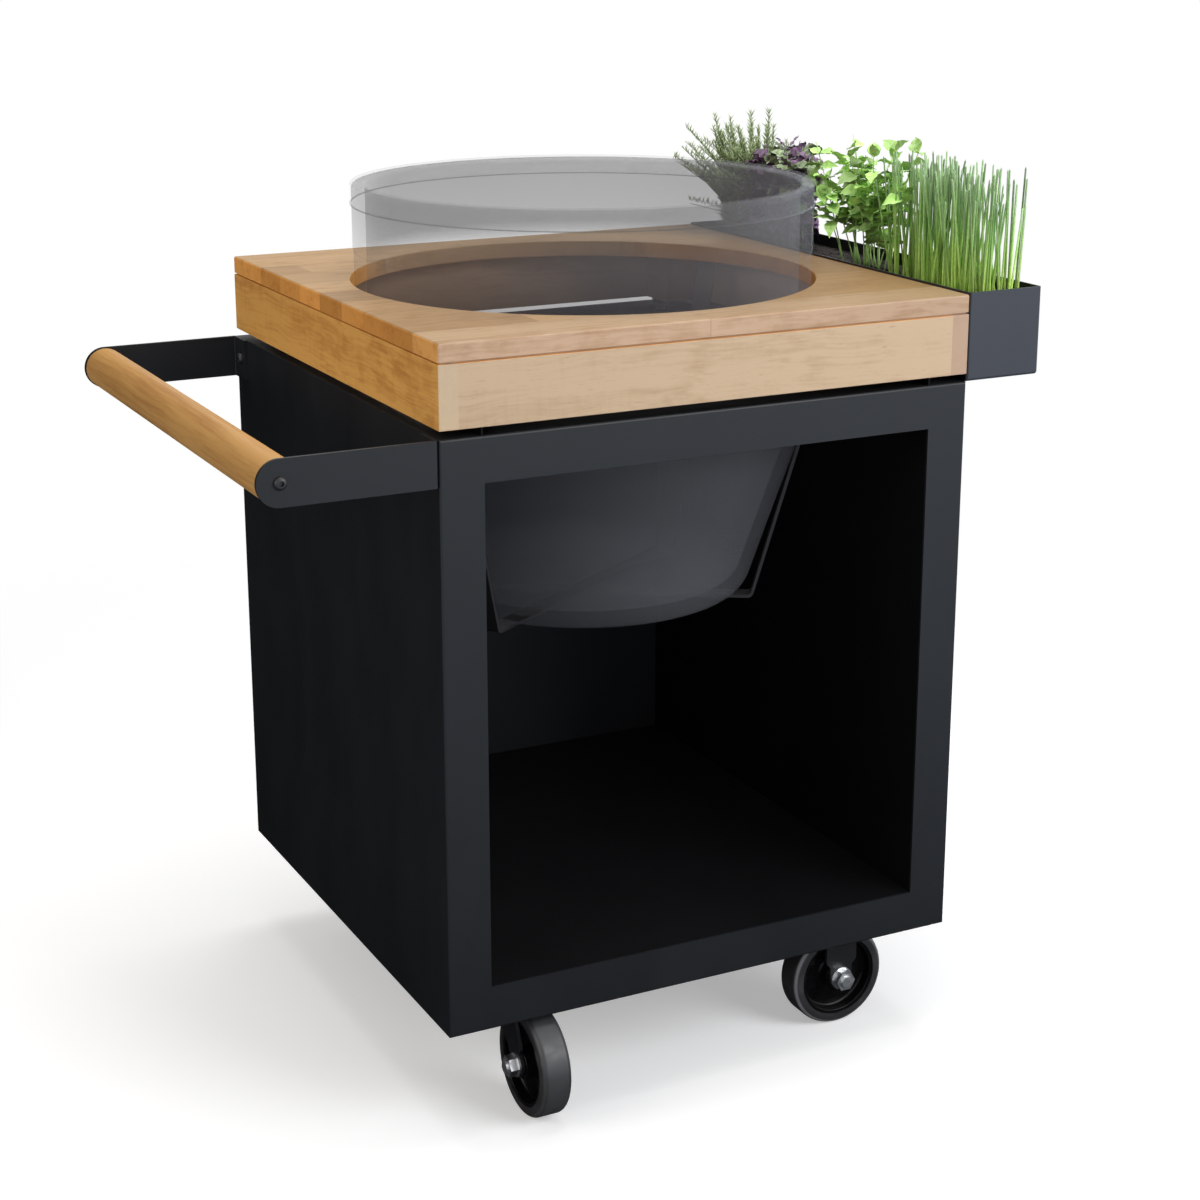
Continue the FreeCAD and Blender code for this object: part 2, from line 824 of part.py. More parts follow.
# Planter: soil, clear of the trough's rounded inner corners and the screw heads
soil_left = planter_left + planter_wall + soil_clearance
soil_right = planter_right - planter_wall - soil_clearance
soil_front = -half_depth + planter_wall + soil_clearance
soil_back = half_depth - planter_wall - soil_clearance
soil = box(
    soil_left, soil_right, soil_front, soil_back, planter_bottom + planter_wall, soil_top
)
soil = soil.makeFillet(
    inner_trough_radius,
    edges_where(soil, lambda middle: middle.z < soil_top - 0.01),
)
head_room_radius = wood_screw_radius * button_head_ratio + head_room
head_room_length = wood_screw_radius * button_height_ratio + head_room
for y in planter_screw_ys:
    start = point(planter_left + planter_wall, y, planter_screw_z)
    soil = soil.cut(rod(head_room_radius, start, X_AXIS, head_room_length))
write("soil", soil)


def herb_clump(front, back, levels):
    """A clump lofted through rounded outlines; each level is a height and four insets."""
    wires = []
    for height, inset_left, inset_right, inset_front, inset_back in levels:
        x1 = planter_left + inset_left
        x2 = planter_right - inset_right
        y1 = front + inset_front
        y2 = back - inset_back
        z = soil_top + height
        corners = [point(x1, y1, z), point(x2, y1, z), point(x2, y2, z), point(x1, y2, z)]
        radius = min(x2 - x1, y2 - y1) * 0.45
        wires.append(rounded_outline(corners, [radius] * 4))
    return Part.makeLoft(wires, True, True)


# Herbs, from the front to the back of the trough
chives_front = soil_front
chives_back = chives_front + chives_length
basil_front = chives_back + herb_spacing
basil_back = basil_front + basil_length
purple_front = basil_back + herb_spacing
purple_back = purple_front + purple_basil_length
rosemary_front = purple_back + herb_spacing
rosemary_back = soil_back
write(
    "herb_chives",
    herb_clump(
        chives_front, chives_back,
        [
            (0.0, 14.0, 14.0, 10.0, 12.0),
            (chives_height * 0.65, 6.0, 4.0, 2.0, 2.0),
            (chives_height, 16.0, 10.0, 8.0, 14.0),
        ],
    ),
)
write(
    "herb_basil",
    herb_clump(
        basil_front, basil_back,
        [
            (0.0, 35.0, 35.0, 45.0, 45.0),
            (basil_height * 0.35, 24.0, 24.0, 30.0, 30.0),
            (basil_height * 0.7, 4.0, 4.0, 2.0, 2.0),
            (basil_height, 22.0, 22.0, 26.0, 26.0),
        ],
    ),
)
write(
    "herb_purple_basil",
    herb_clump(
        purple_front, purple_back,
        [
            (0.0, 34.0, 34.0, 30.0, 30.0),
            (purple_basil_height * 0.45, 8.0, 8.0, 6.0, 6.0),
            (purple_basil_height * 0.75, 5.0, 5.0, 3.0, 3.0),
            (purple_basil_height, 26.0, 26.0, 24.0, 24.0),
        ],
    ),
)
write(
    "herb_rosemary",
    herb_clump(
        rosemary_front, rosemary_back,
        [
            (0.0, 28.0, 28.0, 24.0, 20.0),
            (rosemary_height * 0.4, 6.0, 6.0, 4.0, 4.0),
            (rosemary_height * 0.7, 8.0, 8.0, 6.0, 6.0),
            (rosemary_height, 26.0, 26.0, 26.0, 26.0),
        ],
    ),
)

# Grill bowl: a thick cone that runs into an upright wall with a collar, on a flat foot
inner_radius = bowl_radius - bowl_wall
inner_shoulder_z = shoulder_corner_z + bowl_wall * math.tan(cone_angle / 2)
inner_floor_z = seat_level + bowl_floor
collar_radius = bowl_radius + collar_step
collar_bottom = bowl_top + band_thickness - collar_height
inner_foot_radius = (
    inner_radius - (inner_shoulder_z - inner_floor_z) * math.tan(cone_angle)
)
bowl_points = [
    point(0, 0, seat_level),
    point(bowl_foot_radius, 0, seat_level),
    point(bowl_radius, 0, shoulder_corner_z),
    point(bowl_radius, 0, collar_bottom),
    point(collar_radius, 0, collar_bottom),
    point(collar_radius, 0, bowl_top),
    point(inner_radius, 0, bowl_top),
    point(inner_radius, 0, inner_shoulder_z),
    point(inner_foot_radius, 0, inner_floor_z),
    point(0, 0, inner_floor_z),
]
bowl_rounds = [
    0, bowl_foot_round, bowl_shoulder_round, 0, 0, bowl_lip_round, bowl_lip_round,
    bowl_shoulder_round - bowl_wall, max(bowl_foot_round - bowl_wall, 1), 0,
]
write("kamado_bowl", turned(bowl_points, bowl_rounds, point(0, 0, 0), Z_AXIS))

# Grill bowl: the band round its rim, with a lip that lies on top
band_inner = collar_radius + bond_gap
band_outer = band_inner + band_thickness
band_top = bowl_top + band_thickness
band_points = [
    point(band_inner, 0, band_top - band_height),
    point(band_outer, 0, band_top - band_height),
    point(band_outer, 0, band_top),
    point(bowl_radius - band_lip_width, 0, band_top),
    point(bowl_radius - band_lip_width, 0, bowl_top),
    point(band_inner, 0, bowl_top),
]
band_rounds = [0, 0, band_thickness * 0.8, band_thickness * 0.3, 0, 0]
write("kamado_band", turned(band_points, band_rounds, point(0, 0, 0), Z_AXIS))


# Casters: parts made about a swivel axis at the origin, with the axle along Y
axle_level = wheel_radius
plate_bottom = caster_height - caster_plate_thickness
leg_inner = fork_half_gap
leg_outer = fork_half_gap + fork_leg_thickness


def caster_plate():
    """The mounting plate with its four bolt holes, round the origin's axis."""
    half_x = caster_plate_x / 2
    half_y = caster_plate_y / 2
    corners = [
        point(-half_x, -half_y, plate_bottom),
        point(half_x, -half_y, plate_bottom),
        point(half_x, half_y, plate_bottom),
        point(-half_x, half_y, plate_bottom),
    ]
    plate = extruded(
        rounded_outline(corners, [caster_plate_corner] * 4), Z_AXIS * caster_plate_thickness
    )
    for x in (-caster_hole_spacing_x / 2, caster_hole_spacing_x / 2):
        for y in (-caster_hole_spacing_y / 2, caster_hole_spacing_y / 2):
            start = point(x, y, plate_bottom - cut_past)
            bore_length = caster_plate_thickness + 2 * cut_past
            plate = plate.cut(rod(m8_radius + hole_slack, start, Z_AXIS, bore_length))
    return plate


def fork_leg(top_level, top_half_width, trail):
    """A tapered leg in the XZ plane at Y = 0: wide at the top, round at the axle's eye."""
    eye = point(-trail, 0, axle_level)
    taper_level = axle_level + fork_eye_radius
    lower_half = fork_eye_radius
    upper_half = fork_leg_width / 2
    knee_level = taper_level + (upper_half - lower_half) * 1.2
    knee_shift = trail * (top_level - knee_level) / (top_level - axle_level)
    taper_shift = trail * (top_level - taper_level) / (top_level - axle_level)
    corners = [
        point(-top_half_width, 0, top_level),
        point(-knee_shift - upper_half, 0, knee_level),
        point(-taper_shift - lower_half, 0, taper_level),
        point(-trail - lower_half, 0, axle_level),
        point(-trail + lower_half, 0, axle_level),
        point(-taper_shift + lower_half, 0, taper_level),
        point(-knee_shift + upper_half, 0, knee_level),
        point(top_half_width, 0, top_level),
    ]
    blade = extruded(Part.makePolygon(corners + corners[:1]), Y_AXIS * fork_leg_thickness)
    leg = joined(blade, rod(fork_eye_radius, eye, Y_AXIS, fork_leg_thickness))
    return leg.cut(rod(axle_radius + bond_gap, eye, Y_AXIS, fork_leg_thickness))


def two_legs(leg):
    return [
        leg.translated(point(0, leg_inner, 0)),
        leg.translated(point(0, -leg_outer, 0)),
    ]


def fixed_fork():
    """Plate and legs in one piece, for a wheel that rolls along X."""
    leg = fork_leg(plate_bottom, fork_leg_width / 2, 0.0)
    return joined(caster_plate(), *two_legs(leg))


def swivel_fork():
    """A disc under the race with two legs that trail to the axle."""
    disc_top = plate_bottom - race_height - moving_gap
    disc_bottom = disc_top - fork_leg_thickness
    disc = rod(swivel_disc_radius, point(0, 0, disc_bottom), Z_AXIS, fork_leg_thickness)
    bridge = box(
        -fork_leg_width / 2, fork_leg_width / 2, -leg_outer, leg_outer, disc_bottom, disc_top
    )
    leg = fork_leg(disc_top, fork_leg_width / 2, swivel_trail)
    fork = joined(disc, bridge, *two_legs(leg))
    start = point(0, 0, disc_bottom - cut_past)
    bore_length = fork_leg_thickness + 2 * cut_past
    return fork.cut(rod(swivel_pin_radius + running_fit, start, Z_AXIS, bore_length))


def swivel_plate():
    plate = caster_plate()
    start = point(0, 0, plate_bottom - cut_past)
    bore_length = caster_plate_thickness + 2 * cut_past
    return plate.cut(rod(swivel_pin_radius, start, Z_AXIS, bore_length))


def swivel_race():
    start = point(0, 0, plate_bottom - race_height)
    return tube(race_radius, race_bore, start, Z_AXIS, race_height)


def swivel_pin():
    """King pin, flush with the plate's top, with its head just below the fork."""
    fork_underside = plate_bottom - race_height - moving_gap - fork_leg_thickness
    head_top = fork_underside - moving_gap
    head = rod(
        swivel_pin_head_radius, point(0, 0, head_top - swivel_pin_head_height), Z_AXIS,
        swivel_pin_head_height,
    )
    shank = rod(swivel_pin_radius, point(0, 0, head_top), Z_AXIS, caster_height - head_top)
    return joined(head, shank)


def axle_set(trail):
    """Bolt, sleeve and flanged nut; the nut faces -Y."""
    bolt_length = 2 * leg_outer + axle_nut_height + axle_end_beyond_nut
    bolt = hex_bolt(
        point(-trail, leg_outer, axle_level), Y_AXIS * -1, axle_radius, bolt_length,
        axle_across_flats, axle_head_height,
    )
    sleeve = tube(
        sleeve_radius, axle_radius + bond_gap, point(-trail, -leg_inner, axle_level), Y_AXIS,
        2 * leg_inner,
    )
    nut = hex_nut(
        point(-trail, -leg_outer, axle_level), Y_AXIS * -1, axle_radius + bond_gap,
        axle_across_flats, axle_nut_height, axle_nut_flange_radius, axle_nut_flange_height,
    )
    return [bolt, sleeve, nut]


def tyre(trail):
    """Rubber ring with round shoulders."""
    inner = wheel_radius - tyre_thickness
    half = tyre_width / 2
    centre = point(-trail, 0, axle_level)
    points = [
        centre + point(0, -half, inner),
        centre + point(0, -half, wheel_radius),
        centre + point(0, half, wheel_radius),
        centre + point(0, half, inner),
    ]
    rounds = [0, tyre_shoulder_radius, tyre_shoulder_radius, 0]
    return turned(points, rounds, centre, Y_AXIS)


def wheel_core(trail):
    """Rim, web and hub in one turned piece, recessed on both sides."""
    bore = sleeve_radius + running_fit
    rim_outer = wheel_radius - tyre_thickness - bond_gap
    rim_inner = rim_outer - core_rim_thickness
    centre = point(-trail, 0, axle_level)
    half_outline = [
        (bore, hub_width / 2),
        (hub_radius, hub_width / 2),
        (hub_radius, core_web_thickness / 2),
        (rim_inner, core_web_thickness / 2),
        (rim_inner, core_rim_width / 2),
        (rim_outer, core_rim_width / 2),
    ]
    half_rounds = [0, 1, core_fillet, core_fillet, 1, 0]
    outline = half_outline + [(radius, -y) for radius, y in reversed(half_outline)]
    points = [centre + point(0, y, radius) for radius, y in outline]
    return turned(points, half_rounds + half_rounds[::-1], centre, Y_AXIS)


def on_caster(shape, x, y, turn):
    """A caster part turned about its swivel axis and moved to its place."""
    copy = shape.copy()
    copy.rotate(point(0, 0, 0), Z_AXIS, turn)
    copy.translate(point(x, y, 0))
    return copy


# Casters on the planter side: fixed, rolling along X, with the nut outwards
fixed_axles = []
for name, y, turn in (("front_right", -caster_y, 0), ("rear_right", caster_y, 180)):
    write("fixed_fork_" + name, on_caster(fixed_fork(), caster_x, y, turn))
    write("tyre_" + name, on_caster(tyre(0.0), caster_x, y, turn))
    write("wheel_core_" + name, on_caster(wheel_core(0.0), caster_x, y, turn))
    fixed_axles += [on_caster(piece, caster_x, y, turn) for piece in axle_set(0.0)]
write("fixed_axles", *fixed_axles)

# Casters on the handle side: swivelling, at rest trailing towards the front, with the nut outwards
swivel_turn = 90
swivel_races = []
swivel_pins = []
for name, y in (("front_left", -caster_y), ("rear_left", caster_y)):
    write("swivel_plate_" + name, on_caster(swivel_plate(), -caster_x, y, 0))
    write("swivel_fork_" + name, on_caster(swivel_fork(), -caster_x, y, swivel_turn))
    axle_pieces = []
    # the set is made for the planter side and mirrored, so that its nut faces -X
    for piece in axle_set(swivel_trail):
        axle_pieces.append(mirrored_x(on_caster(piece, caster_x, y, swivel_turn)))
    write("swivel_axle_" + name, *axle_pieces)
    write("tyre_" + name, on_caster(tyre(swivel_trail), -caster_x, y, swivel_turn))
    write("wheel_core_" + name, on_caster(wheel_core(swivel_trail), -caster_x, y, swivel_turn))
    swivel_races.append(on_caster(swivel_race(), -caster_x, y, 0))
    swivel_pins.append(on_caster(swivel_pin(), -caster_x, y, 0))
write("swivel_races", *swivel_races)
write("swivel_pins", *swivel_pins)

# Casters: plate bolts from below and nuts inside the channels
caster_bolts = []
caster_nuts = []
bolt_grip = caster_plate_thickness + base_channel_sheet + m8_nut_height + bolt_end_beyond_nut
for hole_x, hole_y in plate_hole_centres:
    for sign_x in (-1, 1):
        head_seat = point(sign_x * hole_x, hole_y, plate_bottom)
        nut_seat = point(sign_x * hole_x, hole_y, caster_height + base_channel_sheet)
        caster_bolts.append(
            hex_bolt(head_seat, Z_AXIS, m8_radius, bolt_grip, m8_across_flats, m8_head_height)
        )
        caster_nuts.append(
            hex_nut(nut_seat, Z_AXIS, m8_radius + bond_gap, m8_across_flats, m8_nut_height)
        )
write("caster_bolts", *caster_bolts)
write("caster_nuts", *caster_nuts)
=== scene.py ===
import math
import random

import bpy
from mathutils import Matrix, Vector


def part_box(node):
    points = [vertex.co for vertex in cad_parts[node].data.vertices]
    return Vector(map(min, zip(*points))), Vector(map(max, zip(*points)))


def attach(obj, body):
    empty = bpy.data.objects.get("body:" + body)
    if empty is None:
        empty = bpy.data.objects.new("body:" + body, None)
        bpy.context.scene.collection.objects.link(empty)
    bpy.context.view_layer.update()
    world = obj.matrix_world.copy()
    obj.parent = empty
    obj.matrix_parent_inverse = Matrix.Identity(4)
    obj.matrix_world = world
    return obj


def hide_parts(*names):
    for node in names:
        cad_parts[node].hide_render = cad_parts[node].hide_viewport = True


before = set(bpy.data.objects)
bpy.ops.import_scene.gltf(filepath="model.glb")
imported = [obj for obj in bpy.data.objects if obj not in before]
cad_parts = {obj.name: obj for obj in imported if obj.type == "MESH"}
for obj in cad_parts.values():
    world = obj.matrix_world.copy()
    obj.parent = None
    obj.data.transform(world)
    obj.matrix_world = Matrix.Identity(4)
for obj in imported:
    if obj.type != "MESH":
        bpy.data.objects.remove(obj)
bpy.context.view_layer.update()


# Cabinet: 2 and 3 mm sheet steel, folded and welded, then powder-coated in a satin slate black.
# The coat has the fine orange peel of baked powder and a few faint marks from handling.
MM = 0.001


def node(tree, kind, inputs=(), **settings):
    """A shader node; each input is a value or another node's output."""
    made = tree.nodes.new("ShaderNode" + kind)
    for name, value in settings.items():
        setattr(made, name, value)
    for name, value in dict(inputs).items():
        if isinstance(value, bpy.types.NodeSocket):
            tree.links.new(value, made.inputs[name])
        else:
            made.inputs[name].default_value = value
    return made


def result(tree, operation, *values):
    """The value of one Math node."""
    return node(tree, "Math", dict(enumerate(values)), operation=operation).outputs[0]


def between(tree, value, low, high, to_low=0.0, to_high=1.0):
    """A value spread from one range to another, held at both ends."""
    spread = {"Value": value, "From Min": low, "From Max": high, "To Min": to_low, "To Max": to_high}
    return node(tree, "MapRange", spread).outputs["Result"]


def blended(tree, factor, first, second, blend_type="MIX"):
    """Two colours mixed by a factor."""
    made = node(tree, "Mix", data_type="RGBA", blend_type=blend_type)
    for index, value in ((0, factor), (6, first), (7, second)):
        if isinstance(value, bpy.types.NodeSocket):
            tree.links.new(value, made.inputs[index])
        else:
            made.inputs[index].default_value = value
    return made.outputs[2]


def noise(tree, vector, scale, detail, roughness=0.5):
    """Plain noise, from 0 to 1."""
    values = {"Vector": vector, "Scale": scale, "Detail": detail, "Roughness": roughness}
    return node(tree, "TexNoise", values).outputs["Fac"]


def scaled(tree, vector, factors):
    """A vector with each of its directions stretched by its own factor."""
    return node(tree, "VectorMath", {0: vector, 1: factors}, operation="MULTIPLY").outputs[0]


def stained(tree, color, tint):
    """A colour multiplied by another."""
    return blended(tree, 1.0, color, tint, "MULTIPLY")


def piece_place(tree):
    """A point's place on its own piece."""
    return node(tree, "TexCoord").outputs["Object"]


def finish_group(name, inputs):
    """An empty effect that puts out a colour, a roughness and a height."""
    group = bpy.data.node_groups.new(name, "ShaderNodeTree")
    kinds = {tuple: "NodeSocketColor", float: "NodeSocketFloat", Vector: "NodeSocketVector"}
    for label, value in inputs.items():
        socket = group.interface.new_socket(label, in_out="INPUT", socket_type=kinds[type(value)])
        socket.default_value = value
    for label, kind in (("Color", tuple), ("Roughness", float), ("Height", float)):
        group.interface.new_socket(label, in_out="OUTPUT", socket_type=kinds[kind])
    return group, group.nodes.new("NodeGroupInput").outputs, group.nodes.new("NodeGroupOutput").inputs


def put_out(group, ends, color, roughness, height):
    """Links an effect's three results to its outputs."""
    for end, value in zip(ends, (color, roughness, height)):
        group.links.new(value, end)


def material_of(name, group, values, relief, vector=None, **sockets):
    """A material with its colour, roughness and relief from an effect, and fixed sockets of its own."""
    material = bpy.data.materials.new(name)
    material.use_nodes = True
    tree = material.node_tree
    shader = tree.nodes["Principled BSDF"]
    for label, value in sockets.items():
        shader.inputs[label.replace("_", " ")].default_value = value
    effect = node(tree, "Group", node_tree=group)
    for label, value in values.items():
        effect.inputs[label].default_value = value
    if vector is not None:
        tree.links.new(vector(tree), effect.inputs["Vector"])
    bump = node(tree, "Bump", {"Height": effect.outputs["Height"], "Distance": relief})
    tree.links.new(effect.outputs["Color"], shader.inputs["Base Color"])
    tree.links.new(effect.outputs["Roughness"], shader.inputs["Roughness"])
    tree.links.new(bump.outputs["Normal"], shader.inputs["Normal"])
    return material


def dress(material, *names):
    """Gives the finish to the frame's own pieces."""
    for name in names:
        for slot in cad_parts[name].material_slots:
            slot.material = material


powder, source, ends = finish_group("powder_coat", {"Color": (0.02, 0.02, 0.02, 1), "Sheen": 0.45})
place = piece_place(powder)
peel = noise(powder, place, 700.0, 1.0)
rubbed = noise(powder, scaled(powder, place, (1, 1, 0.45)), 11.0, 5.0, 0.62)
paler = stained(powder, source["Color"], (1.2, 1.2, 1.2, 1))
coat_color = blended(powder, between(powder, rubbed, 0.38, 0.72), source["Color"], paler)
coat_gloss = result(powder, "ADD", source["Sheen"], between(powder, rubbed, 0.3, 0.7, -0.02, 0.04))
put_out(powder, ends, coat_color, coat_gloss, peel)

slate_black = (0.0052, 0.0068, 0.0088, 1)
powder_relief = 0.03 * MM
slate_coat = material_of(
    "slate_powder_coat", powder, {"Color": slate_black, "Sheen": 0.47}, powder_relief,
    Specular_IOR_Level=0.39,
)
cabinet_pieces = [
    "front_frame", "side_skin_left", "side_skin_right", "back_panel", "base_channel_left",
    "base_channel_right",
]
dress(slate_coat, *cabinet_pieces)
# The liners and floor inside the cabinet get a darker, less glossy copy of the coat: painted shade.
shaded_inner_coat = material_of(
    "shaded_inner_powder_coat", powder, {"Color": (0.0026, 0.0028, 0.0032, 1), "Sheen": 0.58},
    powder_relief, Specular_IOR_Level=0.1,
)
dress(shaded_inner_coat, "side_liner_left", "side_liner_right", "floor_panel")

# The two channels in the gap under the worktop get a darker, flatter copy of the coat: painted shade
# that keeps the gap black.
gap_shade_coat = material_of(
    "painted_gap_shade", powder, {"Color": (0.003, 0.003, 0.0032, 1), "Sheen": 0.85}, powder_relief,
    Specular_IOR_Level=0.08,
)
dress(gap_shade_coat, "top_channel_front", "top_channel_rear")


# Worktop: an oiled board of glued hardwood staves on four boards set on edge. The staves run from
# the handle to the planter, with stepped end joints. The board's cut ends are a deeper, brighter
# orange: partly the end grain's own tone, partly painted warm light.
def axes_of(tree, vector):
    """The three values of a vector."""
    return node(tree, "SeparateXYZ", {0: vector}).outputs


def grey(tree, value):
    """A grey colour as bright as a value."""
    return node(tree, "CombineColor", {0: value, 1: value, 2: value}).outputs[0]


grain, source, ends = finish_group(
    "oiled_wood",
    {"Vector": Vector((0, 0, 0)), "Light": (0.6, 0.4, 0.25, 1), "Dark": (0.4, 0.25, 0.12, 1),
     "Figure": 0.5, "Mottle": 0.6, "Waver": 0.034},
)
along = source["Vector"]
waver = node(grain, "TexNoise", {"Vector": along, "Scale": 6.0, "Detail": 2.0}).outputs["Color"]
sway = node(grain, "CombineXYZ", {1: source["Waver"], 2: source["Waver"]}).outputs[0]
waver = scaled(grain, waver, sway)
bowed = node(grain, "VectorMath", {0: along, 1: waver}, operation="ADD").outputs[0]
band = noise(grain, scaled(grain, bowed, (1.0, 10, 10)), 3.0, 4.0, 0.55)
streak = noise(grain, scaled(grain, bowed, (2.2, 84, 84)), 3.0, 4.0, 0.62)
mottle = noise(grain, scaled(grain, bowed, (1.0, 1.8, 1.8)), 26.0, 3.0, 0.6)
patch = noise(grain, along, 5.5, 1.0)
ripple = noise(grain, scaled(grain, bowed, (14, 3, 3)), 8.0, 2.0, 0.6)
pore = noise(grain, scaled(grain, along, (24, 330, 330)), 3.0, 1.0)
depth = result(
    grain, "ADD",
    between(grain, band, 0.3, 0.7, 0.0, 0.52),
    between(grain, streak, 0.32, 0.7, 0.0, 0.42),
)
cloud = result(
    grain, "MULTIPLY",
    between(grain, mottle, 0.42, 0.72), between(grain, patch, 0.36, 0.62, 0.15, 1.0),
)
rippled = result(
    grain, "MULTIPLY",
    between(grain, ripple, 0.45, 0.75, 0.0, 0.36), between(grain, patch, 0.42, 0.6, 1.0, 0.1),
)
cloud = result(grain, "ADD", cloud, rippled)
cloud = result(grain, "MULTIPLY", cloud, source["Mottle"])
depth = result(grain, "MULTIPLY", result(grain, "ADD", depth, cloud), source["Figure"])
depth = node(grain, "Math", {0: depth}, operation="MAXIMUM", use_clamp=True).outputs[0]
wood_color = blended(grain, depth, source["Light"], source["Dark"])
pore_mask = between(grain, pore, 0.68, 0.78, 0.0, 0.3)
wood_color = blended(grain, pore_mask, wood_color, (0.2, 0.1, 0.04, 1))
wood_gloss = between(grain, streak, 0.3, 0.7, 0.42, 0.56)
wood_relief = result(grain, "SUBTRACT", result(grain, "MULTIPLY", streak, 0.35), pore_mask)
put_out(grain, ends, wood_color, wood_gloss, wood_relief)

stave_width = 68.5 * MM
first_stave = 66 * MM
stave_length = 460 * MM
last_joint = 335 * MM
stave_step = 0.37
glue_line = 0.35 * MM
board_low, board_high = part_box("worktop_board")


def stave_grid(tree):
    """Where a point lies among the staves, counted in staves, and the chance values of its stave."""
    axes = axes_of(tree, piece_place(tree))
    across = result(tree, "SUBTRACT", axes["Y"], board_low.y + first_stave)
    across = result(tree, "DIVIDE", across, stave_width)
    row = result(tree, "ADD", result(tree, "FLOOR", across), 1.0)
    along = result(tree, "SUBTRACT", axes["X"], board_high.x - last_joint)
    along = result(tree, "DIVIDE", along, stave_length)
    along = result(tree, "ADD", along, result(tree, "MULTIPLY", row, stave_step))
    number = node(tree, "CombineXYZ", {0: row, 1: result(tree, "FLOOR", along)}).outputs[0]
    chance = node(tree, "TexWhiteNoise", {"Vector": number}, noise_dimensions="3D").outputs
    return {"across": across, "along": along, "row": row, "chance": chance}


def glue_lines(tree, grid):
    """A mask of the glue lines round each stave."""
    lines = []
    for value, length in ((grid["across"], stave_width), (grid["along"], stave_length)):
        edge = result(tree, "SUBTRACT", result(tree, "FRACT", value), 0.5)
        edge = result(tree, "ABSOLUTE", edge)
        lines.append(between(tree, edge, 0.5 - 2 * glue_line / length, 0.5 - glue_line / length))
    return result(tree, "MAXIMUM", *lines)


def stave_vector(tree):
    """Object coordinates with each stave's own shift, so that no grain runs over a glue line."""
    shift = scaled(tree, stave_grid(tree)["chance"]["Color"], (7, 7, 7))
    return node(tree, "VectorMath", {0: piece_place(tree), 1: shift}, operation="ADD").outputs[0]


def grain_along(turn):
    """Object coordinates turned so that the grain runs along a piece."""
    def vector(tree):
        turned = {"Vector": piece_place(tree), "Rotation": (0, 0, turn)}
        return node(tree, "Mapping", turned).outputs[0]
    return vector


def wood(name, light, dark, figure, mottle, vector, waver=0.034):
    """An oiled wood with a soft, thin sheen of oil."""
    values = {"Light": light, "Dark": dark, "Figure": figure, "Mottle": mottle, "Waver": waver}
    return material_of(name, grain, values, 0.15 * MM, vector, Specular_IOR_Level=0.28)


def recolored(
    material, axis, color, blend_type="MULTIPLY", share=1.0, span=(0.6, 0.8), fade=None, way=0
):
    """Tints or covers a finish where a face looks along one of its piece's own axes, or one way."""
    tree = material.node_tree
    base = tree.nodes["Principled BSDF"].inputs["Base Color"]
    normal = node(
        tree, "VectorTransform", {0: node(tree, "NewGeometry").outputs["Normal"]},
        vector_type="NORMAL", convert_from="WORLD", convert_to="OBJECT",
    ).outputs[0]
    facing = axes_of(tree, normal)[axis]
    facing = result(tree, "MULTIPLY", facing, way) if way else result(tree, "ABSOLUTE", facing)
    mask = between(tree, facing, *span, 0.0, share)
    if fade:
        mask = result(tree, "MULTIPLY", mask, between(tree, facing, *fade, 1.0, 0.0))
    changed = blended(tree, 1.0, base.links[0].from_socket, color, blend_type)
    tree.links.new(blended(tree, mask, base.links[0].from_socket, changed), base)


board_wood = wood(
    "stave_wood", light=(0.50, 0.32, 0.148, 1), dark=(0.315, 0.17, 0.062, 1), figure=1.0,
    mottle=0.45, vector=stave_vector,
)
dark_stave = (0.70, 0.67, 0.61, 1)
pale_stave = (1.14, 1.16, 1.2, 1)
front_stave = (0.95, 1.03, 1.28, 1)
glue_brown = (0.16, 0.075, 0.03, 1)
glue_share = 0.4
planter_end_stave_shade = 0.25
planter_end_shade = 0.84
tree = board_wood.node_tree
grid = stave_grid(tree)
lengthwise = axes_of(tree, piece_place(tree))["X"]
# Towards the planter's end the staves are drawn to the dark stave tone: painted shade.
stave_shade_ramp = between(tree, lengthwise, board_low.x, board_high.x, 1.0, planter_end_stave_shade)
stave_tone_and_shade = result(tree, "MULTIPLY", grid["chance"]["Value"], stave_shade_ramp)
tint = blended(tree, stave_tone_and_shade, dark_stave, pale_stave)
front_row = between(tree, grid["row"], 0.4, 0.6, 1.0, 0.0)
tint = blended(tree, front_row, tint, front_stave)
# The whole board darkens towards the planter's end: painted shade.
shade = between(tree, lengthwise, 0.0, board_high.x, 1.0, planter_end_shade)
tint = stained(tree, tint, grey(tree, shade))
board_color = tree.nodes["Principled BSDF"].inputs["Base Color"]
tinted = stained(tree, board_color.links[0].from_socket, tint)
glued = result(tree, "MULTIPLY", glue_lines(tree, grid), glue_share)
tree.links.new(blended(tree, glued, tinted, glue_brown), board_color)

end_grain_and_warm_light = (1.84, 1.38, 0.72, 1)
painted_edge_light = (1.42, 1.47, 1.86, 1)
painted_underside_bounce = (1.7, 1.1, 0.5, 1)
level_span = (0.3, 0.6)
recolored(board_wood, "X", end_grain_and_warm_light)
# The board's faces that look to the front or back are painted paler and bluer: painted light.
recolored(board_wood, "Y", painted_edge_light)
# Its underside, seen in the groove above the aprons, is painted warm: painted bounce light.
recolored(board_wood, "Z", painted_underside_bounce, span=level_span, way=-1)
dress(board_wood, "worktop_board")

pale_apron = wood(
    "pale_apron_wood", light=(0.65, 0.495, 0.34, 1), dark=(0.46, 0.315, 0.195, 1), figure=1.0,
    mottle=0.38, vector=grain_along(0.0),
)
painted_apron_top_bounce = (1.3, 0.85, 0.4, 1)
# The aprons' tops, seen in the groove under the board, are painted warm: painted bounce light.
recolored(pale_apron, "Z", painted_apron_top_bounce, span=level_span, way=1)
dress(pale_apron, "apron_front", "apron_back")
